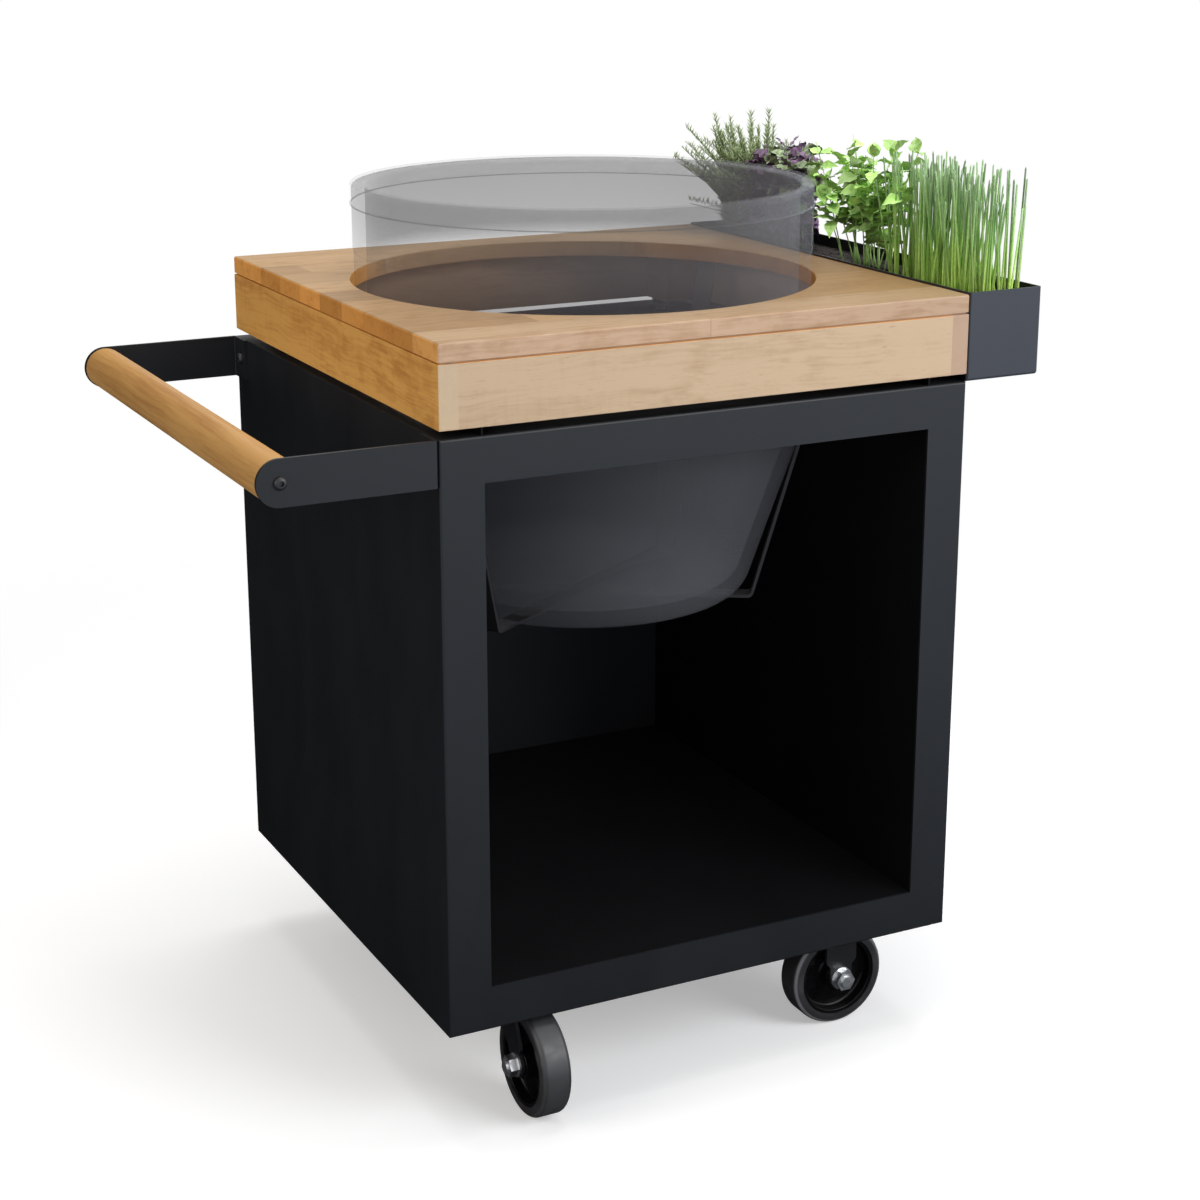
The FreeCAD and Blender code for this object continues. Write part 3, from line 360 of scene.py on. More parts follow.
# The left apron is a more golden, saturated copy of the apron wood: partly its own tone, partly painted
# warm light and shade of the handle's side.
golden_apron = wood(
    "golden_apron_wood", light=(0.84, 0.475, 0.125, 1), dark=(0.50, 0.22, 0.044, 1), figure=1.1,
    mottle=0.5, vector=grain_along(math.pi / 2),
)
golden_end = (0.54, 0.45, 0.34, 1)
recolored(golden_apron, "Y", golden_end, "MIX", share=0.78)
dress(golden_apron, "apron_left")
rosy_apron = wood(
    "rosy_apron_wood", light=(0.62, 0.445, 0.335, 1), dark=(0.50, 0.34, 0.24, 1), figure=0.8,
    mottle=0.5, vector=grain_along(math.pi / 2),
)
rosy_end_tint = (0.82, 0.8, 0.77, 1)
recolored(rosy_apron, "Y", rosy_end_tint)
dress(rosy_apron, "apron_right")
block_wood = wood(
    "glue_block_wood", light=(0.45, 0.29, 0.15, 1), dark=(0.30, 0.17, 0.08, 1), figure=0.9,
    mottle=0.5, vector=grain_along(math.pi / 2),
)
dress(block_wood, "corner_blocks")


# Fixings of the worktop: four zinc-plated bolts, up through the cabinet's top channels into the
# glue blocks, with black spacers round them. The zinc is a clear silver with a faint cloudy bloom.
zinc, source, ends = finish_group("zinc_plate", {"Color": (0.6, 0.61, 0.62, 1), "Gloss": 0.3})
place = piece_place(zinc)
bloom = noise(zinc, place, 160.0, 3.0)
tool_marks = noise(zinc, place, 1500.0, 1.0)
zinc_color = blended(zinc, between(zinc, bloom, 0.35, 0.7), source["Color"], (0.55, 0.56, 0.58, 1))
zinc_gloss = result(zinc, "ADD", source["Gloss"], between(zinc, bloom, 0.3, 0.7, -0.06, 0.14))
put_out(zinc, ends, zinc_color, zinc_gloss, tool_marks)
zinc_relief = 0.02 * MM
bright_zinc = material_of(
    "bright_zinc", zinc, {"Color": (0.86, 0.87, 0.88, 1), "Gloss": 0.36}, zinc_relief, Metallic=1.0
)
dress(bright_zinc, "worktop_bolts")
# The spacers in the gap get the same painted shade.
dress(gap_shade_coat, "worktop_spacers")


# Handle: two 4 mm plates, coated like the cabinet, with a turned and oiled wooden bar between them.
# Black button screws with a hexagon socket hold the bar's ends and the plates' flanges.
dress(slate_coat, "handle_plate_front", "handle_plate_rear")
bar_wood = wood(
    "bar_wood", light=(0.63, 0.36, 0.115, 1), dark=(0.34, 0.16, 0.042, 1), figure=1.25,
    mottle=0.06, vector=grain_along(math.pi / 2), waver=0.009,
)
dress(bar_wood, "handle_bar")
black_oxide = material_of(
    "black_oxide", powder, {"Color": (0.012, 0.012, 0.013, 1), "Sheen": 0.4}, powder_relief
)
dress(black_oxide, "handle_screws")


# Planter: a folded sheet-steel trough, coated like the cabinet, screwed to the right apron.
# Its coat is set a little paler than the cabinet below: painted light. Its worktop side is painted
# darker: painted shade.
planter_coat = material_of(
    "planter_powder_coat", powder, {"Color": (0.019, 0.0225, 0.0315, 1), "Sheen": 0.44},
    powder_relief,
)
painted_worktop_side_shade = (0.08, 0.08, 0.08, 1)
recolored(planter_coat, "X", painted_worktop_side_shade, span=level_span, way=-1)
dress(planter_coat, "planter_trough")
dress(black_oxide, "planter_screws")


# Soil: dark, moist potting soil, filled to a little below the rim. Its top is an uneven bed with
# crumbs of two sizes on it.
soil_low, soil_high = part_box("soil")
chance = random.Random(11)


def deselect():
    """Nothing selected, as each new primitive needs."""
    bpy.ops.object.select_all(action="DESELECT")


def selected_in_edit(piece, test):
    """Edit mode on one piece, with just the vertices that pass the test selected."""
    bpy.ops.object.mode_set(mode="EDIT")
    bpy.ops.mesh.select_mode(type="VERT")
    bpy.ops.mesh.select_all(action="DESELECT")
    bpy.ops.object.mode_set(mode="OBJECT")
    for vertex in piece.data.vertices:
        vertex.select = test(vertex.co)
    bpy.ops.object.mode_set(mode="EDIT")


def taken_apart(piece, growth=None):
    """A modelled shape's points, faces and growth, or else share of its height; it is removed."""
    points = [vertex.co.copy() for vertex in piece.data.vertices]
    faces = [tuple(face.vertices) for face in piece.data.polygons]
    top = max(point.z for point in points)
    shares = [growth(point) if growth else max(point.z, 0.0) / top for point in points]
    bpy.data.objects.remove(piece, do_unlink=True)
    return points, faces, shares


def planted(name, copies):
    """One piece of many copies; its UV map holds each copy's tone and the height along it."""
    points = []
    faces = []
    growth = []
    for shape, place, tone in copies:
        first = len(points)
        points += [place @ point for point in shape[0]]
        for face in shape[1]:
            faces.append([first + index for index in face])
            growth += [value for index in face for value in (tone, shape[2][index])]
    mesh = bpy.data.meshes.new(name)
    mesh.from_pydata(points, [], faces)
    mesh.uv_layers.new(name="growth").data.foreach_set("uv", growth)
    mesh.validate()
    mesh.shade_smooth()
    piece = bpy.data.objects.new(name, mesh)
    bpy.context.scene.collection.objects.link(piece)
    return piece


def on_table(piece, node_name, material):
    """The piece rides on the table, in place of a plain solid."""
    piece.data.materials.append(material)
    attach(piece, "table")
    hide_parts(node_name)


def roughened(piece, chance, amount):
    """Moves each point a little at random."""
    for vertex in piece.data.vertices:
        vertex.co += Vector([chance.uniform(-amount, amount) for axis in range(3)])


crumb_sizes = (1.6 * MM, 3.2 * MM)
small_crumb = 0.55
crumb_squash = (1.0, 0.8, 0.6)
crumb_roughness = 0.22
crumb_count = 1500
deselect()
bpy.ops.mesh.primitive_ico_sphere_add(subdivisions=1, radius=1.0)
crumb = bpy.context.object
bpy.ops.object.mode_set(mode="EDIT")
bpy.ops.transform.resize(value=crumb_squash)
bpy.ops.object.mode_set(mode="OBJECT")
roughened(crumb, chance, crumb_roughness)
crumb_shape = taken_apart(crumb)

bed_margin = 0.5 * MM
bed_wave = 2.2 * MM
bed_border = 3 * MM
bed_cuts = 24
bed_size = Vector((soil_high.x - soil_low.x - 2 * bed_margin,
                   soil_high.y - soil_low.y - 2 * bed_margin, 0))
middle = (soil_low + soil_high) / 2
deselect()
bpy.ops.mesh.primitive_cube_add(size=1.0)
bed = bpy.context.object
bpy.ops.object.mode_set(mode="EDIT")
bpy.ops.transform.resize(value=(bed_size.x, bed_size.y, soil_high.z - soil_low.z - bed_wave))
bpy.ops.transform.translate(value=(middle.x, middle.y, (soil_low.z + soil_high.z - bed_wave) / 2))
bpy.ops.object.mode_set(mode="OBJECT")
bed_top = soil_high.z - bed_wave
selected_in_edit(bed, lambda point: point.z > bed_top - MM)
bpy.ops.mesh.inset(thickness=bed_border)
bpy.ops.mesh.subdivide(number_cuts=bed_cuts)
bpy.ops.object.mode_set(mode="OBJECT")
inner_x = bed_size.x / 2 - MM
for vertex in bed.data.vertices:
    if vertex.co.z > bed_top - MM and abs(vertex.co.x - middle.x) < inner_x:
        vertex.co.z += chance.uniform(-bed_wave, bed_wave * 0.8)
bed.name = "soil_bed"

soil_finish, source, ends = finish_group("damp_soil", {"Color": (0.02, 0.014, 0.01, 1)})
place = piece_place(soil_finish)
clods = noise(soil_finish, place, 260.0, 4.0, 0.7)
fibre = noise(soil_finish, place, 900.0, 2.0)
paler = between(soil_finish, clods, 0.55, 0.72)
soil_color = blended(soil_finish, paler, source["Color"], (0.075, 0.052, 0.036, 1))
soil_gloss = between(soil_finish, clods, 0.3, 0.7, 0.7, 0.95)
put_out(soil_finish, ends, soil_color, soil_gloss, result(soil_finish, "ADD", clods, fibre))
soil_material = material_of(
    "potting_soil", soil_finish, {"Color": (0.016, 0.011, 0.008, 1)}, 1.2 * MM
)

crumbs = []
for index in range(crumb_count):
    radius = chance.uniform(*crumb_sizes) * (small_crumb if index % 3 else 1.0)
    edge = radius + bed_margin
    spot = Vector((chance.uniform(soil_low.x + edge, soil_high.x - edge),
                   chance.uniform(soil_low.y + edge, soil_high.y - edge), bed_top))
    turn = Matrix.Rotation(chance.uniform(0, 2 * math.pi), 4, "Z")
    crumbs.append((crumb_shape, Matrix.Translation(spot) @ turn @ Matrix.Scale(radius, 4), 0.5))
on_table(planted("soil_crumbs", crumbs), "soil", soil_material)
on_table(bed, "soil", soil_material)


# Chives: tufts of thin, round, hollow leaves, yellow-green at the foot and greyer at the tips.
# They stand almost upright and fan out a little at the edges of each tuft.
leaf_skin, source, ends = finish_group(
    "leaf_skin",
    {"Foot": (0.3, 0.4, 0.05, 1), "Middle": (0.15, 0.35, 0.03, 1), "Tip": (0.2, 0.3, 0.1, 1),
     "Gloss": 0.45, "Veins": 300.0},
)
growth = axes_of(leaf_skin, node(leaf_skin, "UVMap", uv_map="growth").outputs[0])
place = piece_place(leaf_skin)
lower = blended(
    leaf_skin, between(leaf_skin, growth["Y"], 0.0, 0.5), source["Foot"], source["Middle"]
)
leaf_color = blended(leaf_skin, between(leaf_skin, growth["Y"], 0.5, 1.0), lower, source["Tip"])
tone = between(leaf_skin, growth["X"], 0.0, 1.0, 0.44, 1.45)
leaf_color = stained(leaf_skin, leaf_color, grey(leaf_skin, tone))
mottle = noise(leaf_skin, place, source["Veins"], 3.0)
pale_leaf = stained(leaf_skin, leaf_color, (1.3, 1.25, 1.2, 1))
leaf_color = blended(leaf_skin, between(leaf_skin, mottle, 0.4, 0.7), leaf_color, pale_leaf)
gloss_change = between(leaf_skin, mottle, 0.3, 0.7, -0.08, 0.1)
leaf_gloss = result(leaf_skin, "ADD", source["Gloss"], gloss_change)
put_out(leaf_skin, ends, leaf_color, leaf_gloss, mottle)

blade_sides = 5
blade_levels = (0.0, 0.18, 0.36, 0.54, 0.72, 0.88, 0.98, 1.0)
blade_taper = 0.955


def blade(bend):
    """A tapered tube one unit high, bent to one side, drawn out of a ring step by step."""
    deselect()
    bpy.ops.mesh.primitive_circle_add(vertices=blade_sides, radius=1.0)
    bpy.ops.object.mode_set(mode="EDIT")
    for low, high in zip(blade_levels, blade_levels[1:]):
        move = {"value": (bend * (high ** 2 - low ** 2), 0, high - low)}
        bpy.ops.mesh.extrude_region_move(TRANSFORM_OT_translate=move)
        bpy.ops.transform.resize(value=(blade_taper, blade_taper, 1))
    bpy.ops.mesh.merge(type="CENTER")
    bpy.ops.object.mode_set(mode="OBJECT")
    return taken_apart(bpy.context.object)


blade_bends = (0.02, 0.08, 0.15, 0.24)
blades = [blade(bend) for bend in blade_bends]


def stood(foot, height, width, turn, lean):
    """A shape scaled to its height and width, leaned, turned and set on its foot."""
    size = Matrix.Diagonal((width, width, height, 1))
    slope = Matrix.Rotation(lean, 4, "Y")
    return Matrix.Translation(foot) @ Matrix.Rotation(turn, 4, "Z") @ slope @ size


def within(points, low, high):
    """Whether all the points lie in the box between two corners."""
    return all(all(low[axis] <= point[axis] <= high[axis] for axis in range(3)) for point in points)


chives_low, chives_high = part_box("herb_chives")
tuft_count = 17
blades_in_tuft = 13
tuft_radius = 14 * MM
side_margin = 22 * MM
front_margin = 18 * MM
end_margins = 24 * MM
blade_radius = 1.45 * MM
blade_widths = (0.75, 1.15)
blade_heights = (0.6, 1.0, 0.86)
blade_tilt = 0.05
fan_out = 0.26
straighter = 0.02
shorter = 0.97
turned_on = 0.4
root_depth = 6 * MM
chives_room = (
    chives_low - Vector((6 * MM, 0, 2 * root_depth)), chives_high + Vector((0, 24 * MM, 0))
)
chance = random.Random(23)
chives = []
for tuft in range(tuft_count):
    share = (tuft + 0.5) / tuft_count
    centre = Vector((
        chance.uniform(chives_low.x + side_margin, chives_high.x - side_margin),
        chives_low.y + front_margin + share * (chives_high.y - chives_low.y - end_margins),
        chives_low.z - root_depth,
    ))
    for index in range(blades_in_tuft):
        angle = chance.uniform(0, 2 * math.pi)
        away = tuft_radius * math.sqrt(chance.random())
        foot = centre + Vector((away * math.cos(angle), away * math.sin(angle), 0))
        height = (chives_high.z - foot.z) * chance.triangular(*blade_heights)
        lean = away / tuft_radius * chance.uniform(0.0, fan_out)
        lean += chance.uniform(-blade_tilt, blade_tilt)
        shape = chance.choice(blades)
        width = blade_radius * chance.uniform(*blade_widths)
        place = stood(foot, height, width, angle, lean)
        # A blade that leaves its room is set straighter and shorter, and turned a little.
        while not within([place @ point for point in shape[0]], *chives_room):
            lean -= straighter
            height *= shorter
            angle += turned_on
            place = stood(foot, height, blade_radius, angle, lean)
        chives.append((shape, place, chance.random()))
chives_skin = material_of(
    "chives_leaf", leaf_skin,
    {"Foot": (0.55, 0.76, 0.17, 1), "Middle": (0.33, 0.58, 0.16, 1), "Tip": (0.27, 0.42, 0.22, 1),
     "Gloss": 0.38, "Veins": 220.0},
    0.1 * MM,
)
on_table(planted("chives_clump", chives), "herb_chives", chives_skin)


# Basil: thin stems, bare in their lower part, with pairs of pointed leaves towards the top. The
# leaves are a light, soft green, folded along the midrib and curled down at the tip.
crinkle_waves = 19


def leaf(widths, fold, droop, crinkle=0.03):
    """A leaf one unit long that grows along +X, folded along its midrib, as a strip of rows."""
    rows = len(widths)
    deselect()
    bpy.ops.mesh.primitive_grid_add(x_subdivisions=rows - 1, y_subdivisions=4, size=1.0)
    piece = bpy.context.object
    bpy.ops.object.mode_set(mode="EDIT")
    bpy.ops.mesh.select_all(action="SELECT")
    bpy.ops.transform.translate(value=(0.5, 0, 0))
    bpy.ops.object.mode_set(mode="OBJECT")
    for index, width in enumerate(widths):
        along = index / (rows - 1)
        selected_in_edit(piece, lambda point: abs(point.x - along) < 0.01)
        bpy.ops.transform.resize(value=(1, max(width, 0.01), 1), center_override=(along, 0, 0))
        bpy.ops.transform.translate(value=(0, 0, -droop * along * along))
        bpy.ops.object.mode_set(mode="OBJECT")
    for vertex in piece.data.vertices:
        vertex.co.z += fold * abs(vertex.co.y) + crinkle * math.sin(vertex.co.x * crinkle_waves)
    # The midrib has the tone of the plant's middle, and the edges nearly that of its tip.
    return taken_apart(piece, lambda point: 0.35 + 0.65 * min(abs(point.y) * 2 + 0.2, 1.0))


pointed = (0.04, 0.40, 0.60, 0.66, 0.70, 0.62, 0.55, 0.40, 0.26, 0.11, 0.0)
folds_and_droops = ((0.35, 0.25), (0.15, 0.45), (0.5, 0.1))
basil_leaves = [leaf(pointed, fold, droop) for fold, droop in folds_and_droops]


def rod():
    """A plain five-sided rod one unit high."""
    deselect()
    bpy.ops.mesh.primitive_cylinder_add(vertices=5, radius=1.0, depth=1.0, location=(0, 0, 0.5))
    bpy.ops.object.transform_apply(location=True)
    return taken_apart(bpy.context.object)


rod_shape = rod()
stem_pieces = 4
stem_overlap = 1.05
stem_taper = 0.5
stem_tone = 0.45
stem_bow = 0.3
stem_sway = 0.16


def along_stem(foot, tip, share):
    """A point on a stem that leaves its foot upright and bows over to its tip."""
    run = tip - foot
    bow = Vector((-run.x, -run.y, 0)) * stem_bow + Vector((0, 0, 1)).cross(run) * stem_sway
    return foot.lerp(tip, share) + bow * math.sin(math.pi * share)


def stem_run(foot, tip, radius):
    """A bowed stem in short straight pieces."""
    copies = []
    for index in range(stem_pieces):
        start = along_stem(foot, tip, index / stem_pieces)
        end = along_stem(foot, tip, (index + 1) / stem_pieces)
        run = end - start
        turn = run.to_track_quat("Z", "Y").to_matrix().to_4x4()
        slim = radius * (1 - stem_taper * index / stem_pieces)
        size = Matrix.Diagonal((slim, slim, run.length * stem_overlap, 1))
        copies.append((rod_shape, Matrix.Translation(start) @ turn @ size, stem_tone))
    return copies


def set_leaf(spot, length, turn, rise, roll):
    """Where a leaf sits: its length along a direction, risen from level and rolled about itself."""
    size = Matrix.Diagonal((length, length, length, 1))
    pose = Matrix.Rotation(turn, 4, "Z") @ Matrix.Rotation(-rise, 4, "Y")
    return Matrix.Translation(spot) @ pose @ Matrix.Rotation(roll, 4, "X") @ size


stem_radius = 0.85 * MM
tip_reach = (0.6, 0.7)
tip_spread = 0.35
crown_fall = 0.08
bare_variety = (0.7, 1.35)
whorl_stagger = 0.6
leaf_rise = (-0.5, 0.6)
top_leaf_rise = 0.5
leaf_roll = 0.9
leaf_shrink = 0.15


def leafy_plant(chance, low, high, stems, foot_spread, whorls, leaf_shapes, lengths, bare, crown):
    """Stems from near the middle to tips spread over the box, with opposite pairs of leaves."""
    copies = []
    centre = (low + high) / 2
    half = (high - low) / 2
    for index in range(stems):
        across = Vector((chance.uniform(-1, 1), chance.uniform(-1, 1), 0))
        foot = Vector((centre.x + across.x * half.x * foot_spread,
                       centre.y + across.y * half.y * foot_spread, low.z - root_depth))
        top = low.z + (high.z - low.z) * chance.uniform(*crown) * (1 - crown_fall * across.length)
        spread = Vector([chance.uniform(-tip_spread, tip_spread) for axis in range(2)] + [0])
        tip = Vector((centre.x + (across.x * tip_reach[0] + spread.x) * half.x,
                      centre.y + (across.y * tip_reach[1] + spread.y) * half.y, top))
        copies += stem_run(foot, tip, stem_radius)
        lowest = bare * chance.uniform(*bare_variety)
        for level in range(whorls):
            step = level + chance.uniform(0.0, whorl_stagger)
            share = lowest + (1 - lowest) * step / whorls
            spot = along_stem(foot, tip, min(share, 1.0))
            turn = chance.uniform(0, math.pi) + level * math.pi / 2
            for side in (0, math.pi):
                length = chance.uniform(*lengths) * (1 - leaf_shrink * share * share)
                rise = chance.uniform(*leaf_rise) + (top_leaf_rise if level == whorls - 1 else 0)
                roll = chance.uniform(-leaf_roll, leaf_roll)
                shape = chance.choice(leaf_shapes)
                place = set_leaf(spot, length, turn + side, rise, roll)
                copies.append((shape, place, chance.random()))
    return copies


trim_tries = 12
trim_inwards = 0.12
trim_lengthwise = 0.04
trim_down = 2 * MM
trim_size = 0.95


def trimmed(copies, low, high):
    """The copies that fit the box, some drawn towards its middle line and shortened until they do."""
    middle = (low + high) / 2
    kept = []
    for shape, place, tone in copies:
        for attempt in range(trim_tries):
            if within([place @ point for point in shape[0]], low, high):
                kept.append((shape, place, tone))
                break
            spot = place.translation
            pull = Vector(((middle.x - spot.x) * trim_inwards,
                           (middle.y - spot.y) * trim_lengthwise, -trim_down))
            place = Matrix.Translation(pull) @ place @ Matrix.Scale(trim_size, 4)
    return kept


def room_of(node_name, left=0.0, above=0.0, behind=0.0, before=0.0):
    """The box that a herb may fill: its solid's, from the roots up, with extra room where it has it."""
    low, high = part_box(node_name)
    return low - Vector((left, before, root_depth + MM)), high + Vector((0, behind, above))


chance = random.Random(31)
low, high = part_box("herb_basil")
basil = leafy_plant(
    chance, low - Vector((0, 70 * MM, 0)), high + Vector((0, 14 * MM, 0)), stems=25,
    foot_spread=0.38, whorls=6, leaf_shapes=basil_leaves, lengths=(18 * MM, 32 * MM), bare=0.42,
    crown=(0.62, 1.03),
)
basil_skin = material_of(
    "basil_leaf", leaf_skin,
    {"Foot": (0.33, 0.51, 0.14, 1), "Middle": (0.38, 0.64, 0.17, 1), "Tip": (0.49, 0.75, 0.25, 1),
     "Gloss": 0.5, "Veins": 260.0},
    0.4 * MM,
)
basil_room = room_of("herb_basil", left=20 * MM, above=8 * MM, behind=24 * MM, before=74 * MM)
basil = trimmed(basil, *basil_room)
on_table(planted("basil_plant", basil), "herb_basil", basil_skin)


# Purple basil: a lower, denser plant with broad, crinkled leaves, nearly black-violet.
# Young shoots between its stems are still a dull green.
broad = (0.05, 0.5, 0.74, 0.66, 0.82, 0.70, 0.74, 0.56, 0.46, 0.22, 0.0)
folds_droops_and_crinkles = ((0.3, 0.35, 0.06), (-0.2, 0.2, 0.07), (0.55, 0.5, 0.05))
purple_leaves = [leaf(broad, *form) for form in folds_droops_and_crinkles]
crinkle_relief = 0.8 * MM
chance = random.Random(47)
low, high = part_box("herb_purple_basil")
purple = leafy_plant(
    chance, low + Vector((0, 6 * MM, 0)), high + Vector((0, 96 * MM, 0)), stems=28,
    foot_spread=0.5, whorls=6, leaf_shapes=purple_leaves, lengths=(22 * MM, 34 * MM), bare=0.26,
    crown=(0.6, 1.1),
)
purple_skin = material_of(
    "purple_basil_leaf", leaf_skin,
    {"Foot": (0.08, 0.055, 0.08, 1), "Middle": (0.095, 0.042, 0.1, 1),
     "Tip": (0.19, 0.10, 0.205, 1), "Gloss": 0.42, "Veins": 200.0},
    crinkle_relief,
)
purple_room = room_of("herb_purple_basil", left=30 * MM, above=18 * MM, behind=90 * MM)
purple = trimmed(purple, *purple_room)
on_table(planted("purple_basil_plant", purple), "herb_purple_basil", purple_skin)
young = leafy_plant(
    chance, low + Vector((0, 12 * MM, 0)), high + Vector((0, 44 * MM, 0)), stems=22,
    foot_spread=0.6, whorls=4, leaf_shapes=purple_leaves, lengths=(20 * MM, 30 * MM), bare=0.5,
    crown=(0.84, 1.14),
)
young_skin = material_of(
    "young_basil_leaf", leaf_skin,
    {"Foot": (0.13, 0.16, 0.08, 1), "Middle": (0.15, 0.21, 0.10, 1), "Tip": (0.30, 0.37, 0.22, 1),
     "Gloss": 0.45, "Veins": 200.0},
    crinkle_relief,
)
young_room = room_of(
    "herb_purple_basil", left=20 * MM, above=20 * MM, behind=44 * MM, before=-2 * MM
)
young = trimmed(young, *young_room)
on_table(planted("young_basil_shoots", young), "herb_purple_basil", young_skin)


# Rosemary: upright sprigs set all round with short, narrow needles, pale grey-green at the tips.
# Every fifth sprig leans out over the worktop, and half of those hang low. A needle is one unit
# long, with a top that rises a little over a keel.
needle = (
    [Vector(point) for point in
     ((0, -0.04, 0), (0, 0.04, 0), (0.5, 0.066, 0.07), (0.5, -0.066, 0.07), (1, 0, 0.02),
      (0, 0, -0.05), (0.5, 0, -0.03))],
    [(0, 1, 2, 3), (3, 2, 4), (5, 0, 3, 6), (1, 5, 6, 2), (6, 3, 4), (2, 6, 4)],
    [0.2, 0.2, 0.6, 0.6, 1.0, 0.2, 0.6],
)
chance = random.Random(59)
base_low, base_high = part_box("herb_rosemary")
centre = (base_low + base_high) / 2
half = (base_high - base_low) / 2
sprig_count = 100
sprig_radius = 1.0 * MM
sprig_foot = (0.45, 0.55)
sprig_reach = (0.8, 0.85)
sprig_heights = (0.4, 1.0, 0.68)
hanging_height = 0.74
bare_share = 0.16
outer_reach = 14 * MM
tip_shift = 12 * MM
needle_step = 2.4 * MM
needle_lengths = (14 * MM, 23 * MM)
needle_turn = 1.1
needle_rise = 0.45
rise_gain = 0.55
needle_variety = 0.3
rosemary = []
for index in range(sprig_count):
    across = Vector((chance.uniform(-1, 1), chance.uniform(-1, 1), 0))
    outer = index % 5 == 0
    foot = Vector((centre.x + across.x * half.x * sprig_foot[0],
                   centre.y + across.y * half.y * sprig_foot[1], base_low.z - root_depth))
    height = (base_high.z - base_low.z) * chance.triangular(*sprig_heights)
    height *= hanging_height if index % 10 == 0 else 1.0
    reach = Vector((across.x * half.x * sprig_reach[0], across.y * half.y * sprig_reach[1], 0))
    if outer:
        reach.x = -abs(reach.x) - half.x - chance.uniform(0, outer_reach)
    tip = Vector((centre.x + reach.x - tip_shift, centre.y + reach.y, base_low.z + height))
    rosemary += stem_run(foot, tip, sprig_radius)
    length = (tip - foot).length
    for step in range(int(length * (1 - bare_share) / needle_step)):
        share = bare_share + step * needle_step / length
        spot = along_stem(foot, tip, min(share, 1.0))
        for side in range(2):
            turn = step * needle_turn + side * math.pi
            turn += chance.uniform(-needle_variety, needle_variety)
            size = chance.uniform(*needle_lengths) * (1.05 - 0.6 * share)
            rise = needle_rise + rise_gain * share
            rise += chance.uniform(-needle_variety, needle_variety)
            place = set_leaf(spot, size, turn, rise, 0.0)
            rosemary.append((needle, place, chance.random() * 0.6 + 0.4 * share))
rosemary_skin = material_of(
    "rosemary_leaf", leaf_skin,
    {"Foot": (0.09, 0.085, 0.045, 1), "Middle": (0.17, 0.235, 0.09, 1), "Tip": (0.37, 0.46, 0.25, 1),
     "Gloss": 0.6, "Veins": 300.0},
    0.2 * MM,
)
rosemary = trimmed(rosemary, *room_of("herb_rosemary", left=46 * MM))
on_table(planted("rosemary_bush", rosemary), "herb_rosemary", rosemary_skin)


# Cradle: two flat steel straps bent to a U and crossed under the grill bowl, riveted where they
# cross and screwed up into the board. They are coated like the cabinet, a little duller.
dull_coat = material_of(
    "dull_powder_coat", powder, {"Color": (0.017, 0.0175, 0.019, 1), "Sheen": 0.5}, powder_relief,
    Specular_IOR_Level=0.45,
)
dress(dull_coat, "cradle_strap_upper", "cradle_strap_lower", "cradle_rivet", "cradle_screws")


# Grill bowl: the base that the table is made for, shown as a smoked, see-through form with a band
# round its rim, so that the hole and the cradle stay visible. Its density changes with height and
# from side to side, because the photograph shows it clearer over wood than over white. Its colour
# has painted shade and light, and a warm painted tint in the hole for the wood seen through it.
bowl_low, bowl_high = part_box("kamado_bowl")
bowl_middle = (bowl_low + bowl_high) / 2
board_top = board_high.z
hole_foot = board_low.z - 60 * MM
fade_foot = board_low.z - 110 * MM
rear_corner = (0.45, 0.89, 0)
near_end = -40 * MM
far_end = 100 * MM
warm_left = (1.6, 0.97, 0.74, 1)
warm_right = (1.5, 1.35, 1.42, 1)
cool_tint = (0.95, 1.0, 1.1, 1)


def by_height(tree, *stops):
    """A value that runs straight from one (height, value) stop to the next."""
    level = axes_of(tree, piece_place(tree))["Z"]
    value = stops[0][1]
    for (low, first), (high, last) in zip(stops, stops[1:]):
        value = result(tree, "ADD", value, between(tree, level, low, high, 0.0, last - first))
    return value


def rearward(tree, near, far):
    """A value that runs over the bowl, from the handle's front corner to the planter's rear one."""
    place = piece_place(tree)
    place = node(tree, "VectorMath", {0: place, 1: bowl_middle}, operation="SUBTRACT").outputs[0]
    depth = node(tree, "VectorMath", {0: place, 1: rear_corner}, operation="DOT_PRODUCT")
    return between(tree, depth.outputs["Value"], near_end, far_end, near, far)


smoked, source, ends = finish_group("smoked_form", {"Color": (0.2, 0.2, 0.2, 1)})
place = piece_place(smoked)
haze = noise(smoked, place, 6.0, 2.0)
sideways = axes_of(smoked, place)["X"]
under = by_height(smoked, (hole_foot, 1.0), (board_low.z, 0.0))
above = result(smoked, "SUBTRACT", 1.0, under)
# Under the board the colour darkens downwards and towards the handle's side, and pales towards the
# planter's side: painted shade and light.
bright = by_height(smoked, (hole_foot, 0.66), (board_low.z, 1.05))
shade = between(smoked, sideways, bowl_low.x, bowl_high.x, -0.56, 0.4)
shade = result(smoked, "ADD", result(smoked, "MULTIPLY", shade, under), 1.0)
bright = result(smoked, "MULTIPLY", bright, shade)
# Above the board it pales towards the planter's side, most at the front: painted light.
lighter = between(smoked, sideways, bowl_middle.x, bowl_high.x, -0.22, 1.5)
lighter = result(smoked, "MULTIPLY", lighter, rearward(smoked, 1.0, 0.3))
lighter = result(smoked, "MULTIPLY", lighter, above)
bright = result(smoked, "MULTIPLY", bright, result(smoked, "ADD", 1.0, lighter))
bright = result(smoked, "MULTIPLY", bright, between(smoked, haze, 0.35, 0.65, 0.94, 1.0))
smoked_color = stained(smoked, source["Color"], grey(smoked, bright))
